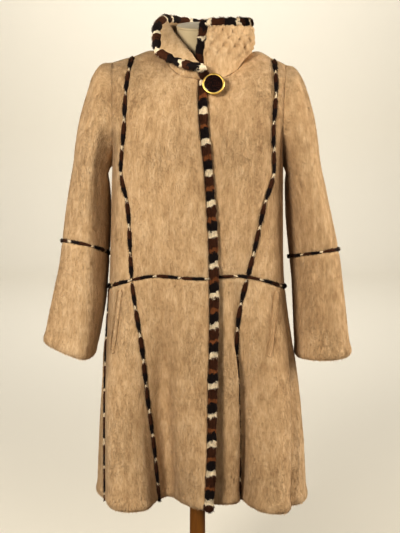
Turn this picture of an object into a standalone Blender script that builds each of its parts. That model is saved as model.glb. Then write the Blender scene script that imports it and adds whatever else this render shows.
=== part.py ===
"""A faux fur swing coat, buttoned at the neck, on a limbless dress form with its stand.

Metres, +Z up, the front faces -Y. The origin is the middle of the stand's underside on the floor.
Sides are the wearer's: RIGHT is -X and laps over LEFT, which is +X.

The coat's wall is one surface, net(side, height, t). t runs round half the coat: 0 at the centre
front, 1 at the side seam or the armhole, 2 at the centre back. The panels are cut from it, the
braids are laid on its points, and the sleeves and the collar start from its edges.
"""

import math

import bmesh
import bpy
import numpy as np

# ---------------------------------------------------------------- driving sizes, in metres
RIGHT, LEFT = -1, 1
WALL = 0.006  # backing and sheared pile together
COLLAR_WALL = 0.009
SEAM_GAP = 0.0003
NECK_SEAM_GAP = 0.0005
NECK_EVENING = 3  # passes over the normals along the neckline
HEM = 0.42
FOLD_TOP = 1.15
HIP_SEAM = 0.952
UNDERARM = 1.19
TOP = 1.45
LAP_LIFT = ((0.42, 0.0105), (1.36, 0.0105), (1.45, 0.0125))  # the lapping front stands off the other
LAP_REACH = 0.040
LAP_FADE = 0.060
LAP_TURN = 0.012
BRAID_THICK = 0.003
BRAID_EDGE = 0.45  # of its thickness is left at a braid's edges
BRAID_HALF = 0.005  # the seam braids are 10 mm wide
FRONT_BRAID = 0.021
FRONT_BRAID_PROUD = (0.0008, 0.0025)  # at its edges and along its middle
NECK_T, PRINCESS_T = 0.435, 0.66
# How far the hip seam drops from its height at the centre front, at each t.
HIP_DROP = ((-0.2, 0.0), (0.0, 0.0), (0.45, 0.002), (0.66, 0.016), (0.82, 0.030), (1.0, 0.040),
            (2.0, 0.022))
HIP_DROP_BELOW, HIP_DROP_ABOVE = 0.30, 0.20

# The coat's level sections below the arms: height, half width on the right, half width on the left,
# depth in front, depth behind, and how square the section is.
SECTIONS = (
    (0.42, 0.234, 0.250, 0.140, 0.165, 2.7),
    (0.66, 0.226, 0.238, 0.142, 0.155, 2.6),
    (0.82, 0.217, 0.221, 0.140, 0.146, 2.5),
    (0.95, 0.207, 0.206, 0.137, 0.139, 2.4),
    (1.05, 0.201, 0.200, 0.134, 0.131, 2.5),
    (1.19, 0.194, 0.195, 0.130, 0.122, 2.9),
)

# The hem's plan: one row, as name, x and y, for each crest, flank and valley of the folds, from the
# front edge round.
HEM_PLAN = {
    RIGHT: (
        ("edge", 0.034, -0.158),
        ("centre", 0.000, -0.143),
        ("inner flank", -0.036, -0.104),
        ("front valley", -0.067, -0.061),
        ("outer flank", -0.090, -0.094),
        ("front ridge", -0.118, -0.159),
        ("ridge crown", -0.157, -0.171),
        ("ridge shoulder", -0.193, -0.154),
        ("side seam", -0.215, -0.092),
        ("side ridge", -0.239, -0.030),
        ("side valley", -0.214, 0.035),
        ("back ridge", -0.205, 0.108),
        ("back crown", -0.165, 0.156),
        ("back valley", -0.115, 0.118),
        ("centre ridge", -0.052, 0.162),
        ("centre back", 0.000, 0.168),
    ),
    LEFT: (
        ("edge", -0.030, -0.108),
        ("centre", 0.000, -0.112),
        ("inner ridge", 0.038, -0.120),
        ("inner crown", 0.072, -0.120),
        ("front valley", 0.096, -0.084),
        ("outer flank", 0.117, -0.130),
        ("front ridge", 0.148, -0.172),
        ("ridge crown", 0.186, -0.183),
        ("ridge edge", 0.212, -0.166),
        ("side seam", 0.213, -0.136),
        ("side ridge", 0.243, -0.112),
        ("side crown", 0.257, -0.050),
        ("side valley", 0.241, 0.022),
        ("back ridge", 0.237, 0.096),
        ("back crown", 0.180, 0.150),
        ("back valley", 0.122, 0.114),
        ("centre ridge", 0.056, 0.160),
        ("centre back", 0.000, 0.168),
    ),
}
FOLD_WARP = {RIGHT: 0.0, LEFT: 0.05}
FOLD_POWER = {RIGHT: 1.5, LEFT: 1.35}

# Above the arms: a row for each height, with x, y, z at five columns: the centre, the front of the neck,
# its side, the princess seam and the armhole.
NET_T = (0.0, 0.27, NECK_T, PRINCESS_T, 1.0)
FRONT_NET = (
    (1.280, ((0.0, -0.131, 1.265), (0.070, -0.130, 1.270), (0.112, -0.122, 1.274),
             (0.165, -0.101, 1.280), (0.190, -0.080, 1.284))),
    (1.360, ((0.0, -0.117, 1.328), (0.066, -0.114, 1.338), (0.108, -0.100, 1.352),
             (0.166, -0.078, 1.362), (0.192, -0.062, 1.360))),
    (1.415, ((0.0, -0.104, 1.366), (0.065, -0.090, 1.380), (0.107, -0.056, 1.413),
             (0.163, -0.043, 1.411), (0.195, -0.034, 1.400))),
    (1.450, ((0.0, -0.096, 1.386), (0.066, -0.068, 1.402), (0.107, -0.003, 1.448),
             (0.160, 0.000, 1.437), (0.198, 0.002, 1.424))),
)
BACK_NET = (
    (1.280, ((0.0, 0.124, 1.280), (0.070, 0.122, 1.280), (0.112, 0.117, 1.280),
             (0.163, 0.100, 1.280), (0.188, 0.080, 1.282))),
    (1.360, ((0.0, 0.110, 1.362), (0.062, 0.106, 1.364), (0.108, 0.095, 1.366),
             (0.163, 0.077, 1.364), (0.192, 0.060, 1.358))),
    (1.415, ((0.0, 0.090, 1.432), (0.055, 0.080, 1.434), (0.107, 0.052, 1.420),
             (0.163, 0.043, 1.412), (0.195, 0.036, 1.400))),
    (1.450, ((0.0, 0.080, 1.464), (0.057, 0.060, 1.462), (0.107, -0.003, 1.448),
             (0.160, 0.000, 1.437), (0.198, 0.002, 1.424))),
)
# The neck opening stands off to the wearer's left, by this much at each height and column.
NECK_SHIFT = ((1.19, 0.0), (1.28, 0.004), (1.36, 0.010), (1.415, 0.014), (1.45, 0.017))
SHIFT_SHARE = (1.0, 1.0, 1.0, 0.80, 0.25)
# The wearer's left shoulder hangs lower by this much at each column, fully at the top.
LEFT_DROP = (0.0, 0.0, 0.001, 0.006, 0.006)
LEFT_DROP_FROM = 1.30

# Places on the fronts, as x at each height.
EDGE_X = {
    RIGHT: ((0.42, 0.034), (0.48, 0.038), (0.67, 0.043), (0.79, 0.046), (0.95, 0.047), (1.04, 0.045),
            (1.17, 0.037), (1.31, 0.025), (1.45, 0.021)),
    LEFT: ((0.42, -0.030), (1.20, -0.030), (1.36, -0.012), (1.45, -0.002)),
}
PRINCESS_X = {
    RIGHT: ((0.42, 0.089), (0.55, 0.099), (0.69, 0.115), (0.80, 0.126), (0.88, 0.138), (0.95, 0.147),
            (1.04, 0.151), (1.13, 0.157), (1.19, 0.1623)),
    LEFT: ((0.95, 0.112), (1.04, 0.133), (1.13, 0.153), (1.19, 0.1630)),
}
# Below the hip the left princess seam runs in a fold: its t at each height.
PRINCESS_FOLD_T = ((0.42, 0.325), (0.55, 0.312), (0.69, 0.300), (0.80, 0.300), (0.88, 0.345), (0.95, 0.422))
# That fold's edge hangs over the seam: how far before the seam it lies and how wide it is, in t, how far
# it stands over at each height and forward, and the heights between which it grows.
LIP_BEFORE, LIP_WIDE, LIP_FORWARD = 0.078, 0.045, 0.006
LIP_OVER = ((0.42, 0.012), (0.55, 0.018), (0.69, 0.022), (0.95, 0.022))
LIP_FROM, LIP_FULL = 0.86, 0.74
# The left side seam lies in a trough of this depth and width (in t), growing between these heights.
TROUGH_DEEP, TROUGH_WIDE = 0.009, 0.060
TROUGH_FROM, TROUGH_FULL = 1.12, 0.80


# ---------------------------------------------------------------- curves through tables
def through(knots, values, at):
    """A smooth curve through the values at the knots, read at each place in at."""
    knots = np.asarray(knots, float)
    values = np.asarray(values, float)
    flat = values.reshape(len(knots), -1)
    step = np.diff(knots)
    rise = np.diff(flat, axis=0) / step[:, None]
    slope = np.empty_like(flat)
    slope[0], slope[-1] = rise[0], rise[-1]
    before, after = step[:-1, None], step[1:, None]
    slope[1:-1] = (rise[:-1] * after + rise[1:] * before) / (before + after)
    at = np.atleast_1d(np.asarray(at, float))
    cell = np.clip(np.searchsorted(knots, at, side="right") - 1, 0, len(step) - 1)
    wide = step[cell][:, None]
    u = np.clip((at - knots[cell])[:, None] / wide, -0.5, 1.5)
    out = (
        flat[cell] * (1 + 2 * u) * (1 - u) ** 2
        + slope[cell] * wide * u * (1 - u) ** 2
        + flat[cell + 1] * u * u * (3 - 2 * u)
        + slope[cell + 1] * wide * u * u * (u - 1)
    )
    return out.reshape((len(at),) + values.shape[1:])


def read(table, at):
    """One value of a two-column table of places and values."""
    knots, values = zip(*table)
    return float(through(knots, values, at)[0])


def smooth(x):
    x = np.clip(x, 0.0, 1.0)
    return x * x * (3 - 2 * x)


def unit(vectors):
    return vectors / np.maximum(np.linalg.norm(vectors, axis=-1, keepdims=True), 1e-12)


# ---------------------------------------------------------------- the coat's surface
def level_curve(side, height):
    """The coat's plain section at a height, from the centre front to the centre back, and its t."""
    columns = [row[1:] for row in SECTIONS]
    heights = [row[0] for row in SECTIONS]
    half_right, half_left, front, back, square = through(heights, columns, height)[0]
    half = half_right if side == RIGHT else half_left
    angle = np.radians(np.linspace(0, 180, 361))
    x = half * np.abs(np.sin(angle)) ** (2 / square)
    depth = np.where(angle < math.pi / 2, front, back)
    y = -depth * np.sign(np.cos(angle)) * np.abs(np.cos(angle)) ** (2 / square)
    length = np.concatenate([[0], np.cumsum(np.hypot(np.diff(x), np.diff(y)))])
    middle = length[180]
    t = np.where(length <= middle, length / middle, 1 + (length - middle) / (length[-1] - middle))
    return t, side * x, y


def level_points(side, height, t):
    """x and y on the plain section; below zero, t passes the centre front to the other side."""
    curve_t, curve_x, curve_y = level_curve(side, height)
    x = np.interp(np.abs(t), curve_t, curve_x) * np.where(t < 0, -1, 1)
    return x, np.interp(np.abs(t), curve_t, curve_y)


def plan_points(side, t):
    """x and y on the hem's plan at t, by length along the front and along the back."""
    names = [row[0] for row in HEM_PLAN[side]]
    points = np.array([row[1:] for row in HEM_PLAN[side]])
    length = np.concatenate([[0], np.cumsum(np.linalg.norm(np.diff(points, axis=0), axis=1))])
    centre, seam = length[names.index("centre")], length[names.index("side seam")]
    knots = np.where(
        length <= seam, (length - centre) / (seam - centre), 1 + (length - seam) / (length[-1] - seam)
    )
    inside = np.clip(t, 0, 1)
    return through(knots, points, t + FOLD_WARP[side] * 4 * inside * (1 - inside)).T


def lap(side, height, x):
    """How far the lapping front stands off at x."""
    if side == LEFT:
        return np.zeros_like(x)
    return np.interp(height, *zip(*LAP_LIFT)) * smooth((LAP_REACH + LAP_FADE + x) / LAP_FADE)


def drop(height, t):
    """How far a level of the cloth hangs below its nominal height near the hip seam."""
    reach = HIP_DROP_BELOW if height < HIP_SEAM else HIP_DROP_ABOVE
    knots, values = zip(*HIP_DROP)
    return through(knots, values, t) * smooth(1 - abs(height - HIP_SEAM) / reach)


def grown(height, start, full):
    """0 above the height start, 1 below the height full."""
    return smooth((start - height) / (start - full))


def folded(height, t, x, y):
    """The left front's sharp folds: the lip over the princess seam and the trough of the side seam."""
    lip = (t - read(PRINCESS_FOLD_T, min(height, HIP_SEAM)) + LIP_BEFORE) / LIP_WIDE
    lip = np.exp(-lip * lip) * grown(height, LIP_FROM, LIP_FULL)
    trough = np.exp(-(((t - 1) / TROUGH_WIDE) ** 2)) * grown(height, TROUGH_FROM, TROUGH_FULL)
    return x + read(LIP_OVER, height) * lip - TROUGH_DEEP * trough, y - LIP_FORWARD * lip


def low_net(side, height, t):
    x, y = level_points(side, height, t)
    share = max(0.0, (FOLD_TOP - height) / (FOLD_TOP - HEM)) ** FOLD_POWER[side]
    if share > 0:
        plan_x, plan_y = plan_points(side, t)
        hem_x, hem_y = level_points(side, HEM, t)
        x = x + share * (plan_x - hem_x)
        y = y + share * (plan_y - hem_y)
    if side == LEFT:
        x, y = folded(height, t, x, y)
    y = y - lap(side, height, x) * (t < 1)
    return np.stack([x, y, height - drop(height, t)], axis=1)


def high_net(side, height, t):
    """Points above the arms, on a curve in height through the net's rows and the sections below."""
    rows = FRONT_NET if np.all(t <= 1) else BACK_NET
    own_t = t if rows is FRONT_NET else 2 - t
    knots, points = [], []
    for low in (UNDERARM - 0.14, UNDERARM - 0.07, UNDERARM):
        knots.append(low)
        below = low_net(side, low, t)
        below[:, 1] += lap(side, low, below[:, 0]) * (t < 1)
        points.append(below)
    for row_height, row in rows:
        shift = read(NECK_SHIFT, row_height) * through(NET_T, SHIFT_SHARE, np.abs(own_t))
        place = through(NET_T, row, np.abs(own_t))
        place[:, 0] = side * place[:, 0] * np.where(own_t < 0, -1, 1) + shift
        if side == LEFT:
            down = smooth((row_height - LEFT_DROP_FROM) / (TOP - LEFT_DROP_FROM))
            place[:, 2] -= down * through(NET_T, LEFT_DROP, np.abs(own_t))
        knots.append(row_height)
        points.append(place)
    found = through(knots, np.array(points), height)[0]
    found[:, 1] -= lap(side, height, found[:, 0] - LAP_TURN) * (t < 1)
    return found


def net(side, height, t):
    """Points of the coat's outer surface at one height, front or back."""
    t = np.atleast_1d(np.asarray(t, float))
    if height <= UNDERARM:
        return low_net(side, height, t)
    found = np.empty((len(t), 3))
    front = t <= 1
    if front.any():
        found[front] = high_net(side, height, t[front])
    if (~front).any():
        found[~front] = high_net(side, height, t[~front])
    return found


def net_normals(side, height, t):
    """Outward normals from small steps along the surface."""
    small_t, small_h = 0.004, 0.003
    t = np.asarray(t, float)
    limit = np.where(t <= 1, 1.0, 2.0) if height > UNDERARM else np.full_like(t, 2.0)
    floor = np.where(t <= 1, -1.0, 1.0001) if height > UNDERARM else np.full_like(t, -1.0)
    ahead, behind = np.minimum(t + small_t, limit), np.maximum(t - small_t, floor)
    along = net(side, height, ahead) - net(side, height, behind)
    up = net(side, min(height + small_h, TOP), t) - net(side, max(height - small_h, HEM), t)
    return unit(np.cross(along, up)) * side


def t_at_x(side, height, x):
    """The t at which the surface near the front has this x."""
    t = np.linspace(-0.4, 0.9, 521)
    along = side * net(side, height, t)[:, 0]
    return float(np.interp(side * x, np.maximum.accumulate(along), t))


# ---------------------------------------------------------------- rows and columns of the panels
LOW_ROWS = (HEM, 0.490, 0.565, 0.640, 0.710, 0.775, 0.840, 0.900, HIP_SEAM - BRAID_HALF, HIP_SEAM)
HIGH_ROWS = (HIP_SEAM, HIP_SEAM + BRAID_HALF, 1.025, 1.110, UNDERARM,
             1.204, 1.224, 1.250, 1.285, 1.325, 1.362, 1.394, 1.424, TOP)
NECK_STEPS = 4  # columns from the front braid to the neck's side
SHOULDER_STEPS = 3  # from the neck's side to the princess braid
SIDE_STEPS = 5  # between the princess braid and the side braid
BACK_STEPS = 5  # from the neck's side to the centre back


def princess_t(side, height):
    if height >= UNDERARM:
        return PRINCESS_T
    if side == LEFT and height < HIP_SEAM:
        return read(PRINCESS_FOLD_T, height)
    return t_at_x(side, height, side * read(PRINCESS_X[side], height))


def edge_t(side, height):
    return t_at_x(side, height, read(EDGE_X[side], height))


def spaced(side, height, start, end, inner, near_start, near_end):
    """t at even lengths along the surface, with a column a braid's half width in from a braided end."""
    t = np.linspace(start, end, 81)
    points = net(side, height, t)
    length = np.concatenate([[0], np.cumsum(np.linalg.norm(np.diff(points, axis=0), axis=1))])
    first, last = near_start, length[-1] - near_end
    marks = np.linspace(first, last, inner + 1)
    if near_start:
        marks = np.concatenate([[0], marks])
    if near_end:
        marks = np.concatenate([marks, [length[-1]]])
    return np.interp(marks, length, t)


def neck_share(side):
    """Where the neck's side lies on the top edge between the front edge and the princess seam."""
    start = edge_t(side, TOP)
    return (NECK_T - start) / (PRINCESS_T - start)


def centre_columns(side, height):
    start, end = edge_t(side, height), princess_t(side, height)
    neck = start + neck_share(side) * (end - start)
    to_neck = spaced(side, height, start, neck, NECK_STEPS, FRONT_BRAID, 0)
    return np.concatenate([to_neck, spaced(side, height, neck, end, SHOULDER_STEPS, 0, BRAID_HALF)[1:]])


def side_columns(side, height):
    return spaced(side, height, princess_t(side, height), 1.0, SIDE_STEPS, BRAID_HALF, BRAID_HALF)


def front_columns(side, height):
    return np.concatenate([centre_columns(side, height), side_columns(side, height)[1:]])


def back_columns(side, height):
    """From the side seam or the armhole to the centre back, opposite the front's own columns."""
    if height > UNDERARM:
        turned = 2 - np.concatenate([side_columns(side, TOP)[::-1], centre_columns(side, TOP)[::-1][1:5]])
        side_part = spaced(side, height, 1.0001, 2 - PRINCESS_T, SIDE_STEPS, BRAID_HALF, BRAID_HALF)
        shoulder = spaced(side, height, 2 - PRINCESS_T, 2 - NECK_T, SHOULDER_STEPS, BRAID_HALF, 0)
        if height == TOP:
            side_part, shoulder = turned[: len(side_part)], turned[len(side_part) - 1:]
    else:
        side_part = spaced(side, height, 1.0, 2 - PRINCESS_T, SIDE_STEPS, BRAID_HALF, BRAID_HALF)
        shoulder = spaced(side, height, 2 - PRINCESS_T, 2 - NECK_T, SHOULDER_STEPS, BRAID_HALF, 0)
    centre = spaced(side, height, 2 - NECK_T, 2.0, BACK_STEPS, 0, 0)
    return np.concatenate([side_part, shoulder[1:], centre[1:]])


# Each pocket's welt: its upper and its lower end, as height and t.
POCKET = {RIGHT: ((0.935, 0.690), (0.783, 0.775)), LEFT: ((0.935, 0.735), (0.775, 0.625))}
WELT_WIDE, WELT_THICK, WELT_GAP, WELT_STEPS = 0.013, 0.004, 0.0009, 20
WELT_EDGE = 0.5  # of its thickness is left at its edges


# ---------------------------------------------------------------- walls
class Sheet:
    """A grid of outer points with the outward normal at each; rows run up, columns run round."""

    def __init__(self, points, normals):
        self.points = np.asarray(points, float)
        self.normals = np.asarray(normals, float)

    def part(self, rows=slice(None), columns=slice(None)):
        return Sheet(self.points[rows, columns], self.normals[rows, columns])

    def moved(self, out):
        """The points moved out along their normals, by one length or by one for each point."""
        return self.points + self.normals * np.broadcast_to(out, self.points.shape[:2])[..., None]


def beside(left, right):
    """Two sheets that share a column, as one."""
    return Sheet(
        np.concatenate([left.points, right.points[:, 1:]], axis=1),
        np.concatenate([left.normals, right.normals[:, 1:]], axis=1),
    )


def above(low, high):
    """Two sheets that share a row, as one."""
    return Sheet(
        np.concatenate([low.points, high.points[1:]]), np.concatenate([low.normals, high.normals[1:]])
    )


def sheet_of(side, rows, columns_at):
    points, normals = [], []
    for height in rows:
        t = columns_at(side, height)
        points.append(net(side, height, t))
        normals.append(net_normals(side, height, t))
    return Sheet(points, normals)


SEAM_ORDER = (0.37, 0.11, 1.0)  # no two neighbours along a seam have the same sum of |x|, y, z by these


def seam_key(point):
    """Orders the two ends of a seam's edge the same way for the pieces on both sides of it."""
    return SEAM_ORDER[0] * abs(point[0]) + SEAM_ORDER[1] * point[1] + SEAM_ORDER[2] * point[2]


# Each edge of a grid: its own row or column, the next one in, and the axis they are counted along.
EDGE_LINES = {"bottom": (0, 1, 0), "top": (-1, -2, 0), "start": (0, 1, 1), "end": (-1, -2, 1)}


def drawn_in(outer, inner, gap, edges):
    """Moves the edges named in edges by the gap towards the middle of the piece."""
    outer, inner = outer.copy(), inner.copy()
    for edge in edges:
        index, beyond, axis = EDGE_LINES[edge]
        for face in (outer, inner):
            line = face[index] if axis == 0 else face[:, index]
            next_line = face[beyond] if axis == 0 else face[:, beyond]
            moved = line + unit(next_line - line) * gap
            if axis == 0:
                face[index] = moved
            else:
                face[:, index] = moved
    return outer, inner


def wall_mesh(outer, inner, closed=False, cells=None, lattice=False):
    """Triangles of the wall between two grids.

    cells picks squares of the grid, and closed joins its ends. With lattice, each square is cut between
    its low corners, so that the lumps stand apart.
    """
    rows, columns = outer.shape[:2]
    across = columns if closed else columns - 1
    if cells is None:
        cells = np.ones((rows - 1, across), bool)
    points = np.concatenate([outer.reshape(-1, 3), inner.reshape(-1, 3)])
    count = rows * columns

    def index(row, column, face):
        return row * columns + column % columns + face * count

    def filled(row, column):
        if closed:
            column %= across
        return 0 <= row < rows - 1 and 0 <= column < across and cells[row, column]

    faces = []
    for row in range(rows - 1):
        for column in range(across):
            if not cells[row, column]:
                continue
            a, b = (row, column), (row, column + 1)
            c, d = (row + 1, column + 1), (row + 1, column)
            halves = ((a, b, d), (b, c, d)) if lattice and (row + column) % 2 else ((a, b, c), (a, c, d))
            for half in halves:
                faces.append([index(*corner, 0) for corner in half])
            for half in ((a, c, b), (a, d, c)):
                faces.append([index(*corner, 1) for corner in half])
            sides = (
                (a, b, (row - 1, column)),
                (b, c, (row, column + 1)),
                (c, d, (row + 1, column)),
                (d, a, (row, column - 1)),
            )
            for first, second, neighbour in sides:
                if filled(*neighbour):
                    continue
                p, q = index(*first, 0), index(*second, 0)
                r, s = index(*first, 1), index(*second, 1)
                if seam_key(points[p]) < seam_key(points[q]):
                    faces += [[p, r, s], [p, s, q]]
                else:
                    faces += [[p, r, q], [q, r, s]]
    return points, faces


# ---------------------------------------------------------------- sleeves
# One row for each ring from the armhole to the cuff: x (away from the middle) and z of the tube's inner
# edge, x and z of its outer edge, y of its middle, its half depth, how far its front crease leans to the
# inner edge, and how far behind the middle the inner edge lies.
SLEEVES = {
    RIGHT: (
        (0.1985, 1.183, 0.2180, 1.4150, 0.002, 0.087, 0.000, 0.000),
        (0.2030, 1.176, 0.2360, 1.3960, 0.002, 0.087, 0.000, 0.003),
        (0.2055, 1.166, 0.2495, 1.3600, 0.000, 0.086, 0.002, 0.010),
        (0.2035, 1.150, 0.2630, 1.3160, -0.002, 0.085, 0.002, 0.021),
        (0.2020, 1.125, 0.2755, 1.2620, -0.004, 0.083, 0.003, 0.032),
        (0.2015, 1.088, 0.2850, 1.1950, -0.006, 0.081, 0.005, 0.040),
        (0.2030, 1.038, 0.2985, 1.1120, -0.008, 0.079, 0.010, 0.044),
        (0.2070, 0.982, 0.3120, 1.0180, -0.010, 0.077, 0.017, 0.045),
        (0.2110, 0.928, 0.3225, 0.9500, -0.012, 0.076, 0.021, 0.042),
        (0.2175, 0.865, 0.3370, 0.8800, -0.014, 0.075, 0.028, 0.037),
        (0.2310, 0.800, 0.3500, 0.8220, -0.016, 0.074, 0.033, 0.030),
        (0.2470, 0.748, 0.3580, 0.7760, -0.018, 0.073, 0.036, 0.024),
    ),
    LEFT: (
        (0.1985, 1.183, 0.2200, 1.4080, 0.002, 0.087, 0.000, 0.000),
        (0.2030, 1.176, 0.2380, 1.3880, 0.002, 0.087, 0.000, 0.003),
        (0.2055, 1.166, 0.2505, 1.3540, 0.000, 0.086, -0.003, 0.011),
        (0.2045, 1.150, 0.2625, 1.3120, -0.002, 0.085, -0.007, 0.021),
        (0.2045, 1.125, 0.2720, 1.2620, -0.004, 0.083, -0.010, 0.031),
        (0.2065, 1.088, 0.2805, 1.1950, -0.006, 0.081, -0.013, 0.038),
        (0.2115, 1.038, 0.2960, 1.1120, -0.008, 0.079, -0.018, 0.036),
        (0.2190, 0.978, 0.3190, 0.9980, -0.010, 0.077, -0.021, 0.028),
        (0.2245, 0.920, 0.3280, 0.9350, -0.013, 0.076, -0.022, 0.018),
        (0.2270, 0.860, 0.3370, 0.8700, -0.017, 0.075, -0.023, 0.012),
        (0.2300, 0.800, 0.3455, 0.8100, -0.021, 0.074, -0.023, 0.006),
        (0.2330, 0.744, 0.3530, 0.7600, -0.024, 0.073, -0.023, 0.002),
    ),
}
SLEEVE_SQUARE = {RIGHT: 1.5, LEFT: 1.85}
ELBOW = 8  # the ring of the elbow seam
ELBOW_LIFT = {RIGHT: 0.022, LEFT: 0.011}  # how far the seam rises to its front, and drops behind
ELBOW_REACH = 3.5  # rings over which that evens out
ELBOW_BRAID = 0.068  # in rings, each side of it
CUFF = 12
SLEEVE_EASE = 5  # rings over which the armhole's spacing evens out
HOLE_SHARE = 0.6  # how much of the armhole's own shape the first rings keep
RINGS = (1, 2, 3, 4, 5, 6, 7, ELBOW - ELBOW_BRAID, ELBOW, ELBOW + ELBOW_BRAID, 9, 10, 11, CUFF)
AROUND = 18


def sleeve_points(side, ring, turn):
    """Points of a ring of the sleeve; turn runs 0 to 1 from the inner edge by the front."""
    row = through(range(1, CUFF + 1), SLEEVES[side], ring)[0]
    inner, outer = row[0:2], row[2:4]
    middle_y, half_depth, lean, set_back = row[4:]
    angle = 2 * math.pi * np.asarray(turn)
    power = 2 / SLEEVE_SQUARE[side]
    across = np.sign(np.cos(angle)) * np.abs(np.cos(angle)) ** power
    forward = np.sign(np.sin(angle)) * np.abs(np.sin(angle)) ** power
    half = (inner - outer) / 2
    share = across + forward * lean / np.linalg.norm(half)
    place = (inner + outer) / 2 + half * share[:, None]
    y = middle_y - half_depth * forward + set_back * ((1 + across) / 2) ** 2
    lift = ELBOW_LIFT[side] * smooth(1 - abs(ring - ELBOW) / ELBOW_REACH)
    return np.stack([side * place[:, 0], y, place[:, 1] + lift * forward], axis=1)


def hole_turns(side, hole):
    """The turn of each point of the armhole, seen from the middle of the first ring."""
    row = np.array(SLEEVES[side][0])
    low, high, middle_y, half_depth = row[1], row[3], row[4], row[5]
    down = ((low + high) / 2 - hole[:, 2]) / ((high - low) / 2)
    forward = (middle_y - hole[:, 1]) / half_depth
    turns = np.arctan2(forward, down) / (2 * math.pi) % 1
    turns[0] = 0.0
    return turns


def sleeve_sheet(side, hole, rings, own_start=False):
    """The sleeve from the armhole's points; its first rings keep something of the armhole's shape."""
    even = np.arange(AROUND) / AROUND
    start = hole_turns(side, hole.points[0])
    rows = []
    for ring in rings:
        share = smooth((ring - 1) / SLEEVE_EASE)
        rows.append(sleeve_points(side, ring, start + (even - start) * share))
        rest = hole.points[0] - sleeve_points(side, 1, start)
        rest[:, 0] = 0
        rows[-1] += rest * HOLE_SHARE * (1 - smooth((ring - 0.5) / 2))
    points = np.array([hole.points[0], *rows])
    wrapped = np.concatenate([points[:, -1:], points, points[:, :1]], axis=1)
    along = wrapped[:, 2:] - wrapped[:, :-2]
    down = np.concatenate(
        [points[1:2] - points[:1], points[2:] - points[:-2], points[-1:] - points[-2:-1]]
    )
    normals = unit(np.cross(along, down)) * -side
    if not own_start:
        normals[0] = hole.normals[0]
        points[0, :, 0] += side * SEAM_GAP
    return Sheet(points, normals)


def armhole(front, back):
    """The armhole's edge, from the underarm up the front and down the back."""
    first = HIGH_ROWS.index(UNDERARM)
    points = np.concatenate([front.points[first:, -1], back.points[-2:first:-1, 0]])
    normals = np.concatenate([front.normals[first:, -1], back.normals[-2:first:-1, 0]])
    return Sheet(points[None], normals[None])


# ---------------------------------------------------------------- collar
# Round the neck from the lapping front edge: how far along the neckline (0 to 1), x, y, z of the crest
# where the collar folds or is half way up, x, y, z of its braided edge, and how far it sags between them.
COLLAR = (
    (0.000, 0.014, -0.134, 1.406, -0.088, -0.081, 1.441, 0.008),
    (0.020, 0.008, -0.130, 1.414, -0.091, -0.075, 1.452, 0.007),
    (0.065, 0.001, -0.124, 1.422, -0.093, -0.068, 1.463, 0.006),
    (0.120, -0.009, -0.112, 1.434, -0.094, -0.056, 1.478, 0.003),
    (0.190, -0.024, -0.091, 1.450, -0.094, -0.036, 1.497, 0.000),
    (0.280, -0.050, -0.050, 1.478, -0.086, -0.008, 1.514, 0.000),
    (0.360, -0.067, 0.026, 1.500, -0.074, 0.030, 1.526, 0.000),
    (0.430, -0.042, 0.067, 1.499, -0.047, 0.072, 1.525, 0.000),
    (0.500, 0.006, 0.092, 1.494, 0.000, 0.096, 1.519, 0.000),
    (0.570, 0.062, 0.082, 1.490, 0.058, 0.084, 1.517, 0.000),
    (0.650, 0.106, 0.048, 1.486, 0.102, 0.047, 1.518, 0.000),
    (0.720, 0.124, 0.000, 1.482, 0.120, -0.002, 1.518, 0.000),
    (0.800, 0.113, -0.047, 1.470, 0.104, -0.045, 1.518, 0.000),
    (0.880, 0.076, -0.080, 1.457, 0.067, -0.071, 1.518, 0.000),
    (0.950, 0.033, -0.096, 1.450, 0.034, -0.086, 1.516, 0.000),
    (1.000, -0.002, -0.097, 1.448, 0.013, -0.090, 1.512, 0.000),
)
COLLAR_SPLIT = 3  # collar columns for each column of the neckline
COLLAR_BRAID = 0.013
COLLAR_CLEAR = 0.003  # no other column comes nearer to the braid
COLLAR_BRAID_PROUD = (0.0006, 0.0034)  # at its edges and along its middle
FOLD_ROUND = 0.019  # half the length over which the fold bends
ROLL_END = 0.27  # how far along the neckline the front rolls outwards
ROLL_FADE = 0.1  # over how much more of it that ends
TUCK_ZONE = 0.064  # how far below the braid the gathers reach
TUCK_SHARES = (0.0, 0.5, 1.0, 1.0, 1.0, 0.5)  # how high they stand at the zone's rows, from its foot
TUCK_HEIGHT = 0.0065
ZONE_SHARE = 0.8  # of a low collar's height, at most, is gathered
TUCK_FROM = 0.32  # where along the collar they begin: the rolled front is plain


def neckline(fronts, backs):
    """The top edge all round: right front, back, left front."""
    pieces = [
        fronts[RIGHT].part(slice(-1, None), slice(0, NECK_STEPS + 2)),
        backs[RIGHT].part(slice(-1, None), slice(-BACK_STEPS - 1, None)),
        backs[LEFT].part(slice(-1, None), slice(-BACK_STEPS - 1, None)),
        fronts[LEFT].part(slice(-1, None), slice(0, NECK_STEPS + 2)),
    ]
    pieces[2] = Sheet(pieces[2].points[:, ::-1], pieces[2].normals[:, ::-1])
    pieces[3] = Sheet(pieces[3].points[:, ::-1], pieces[3].normals[:, ::-1])
    joined = pieces[0]
    for piece in pieces[1:]:
        joined = beside(joined, piece)
    return joined


def split_columns(sheet, parts):
    """The chords of a one-row sheet cut into equal parts."""
    share = np.arange(parts) / parts
    result = []
    for grid in (sheet.points, sheet.normals):
        first, last = grid[0, :-1, None], grid[0, 1:, None]
        cut = first + (last - first) * share[None, :, None]
        result.append(np.concatenate([cut.reshape(-1, 3), grid[0, -1:]]))
    return result


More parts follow.
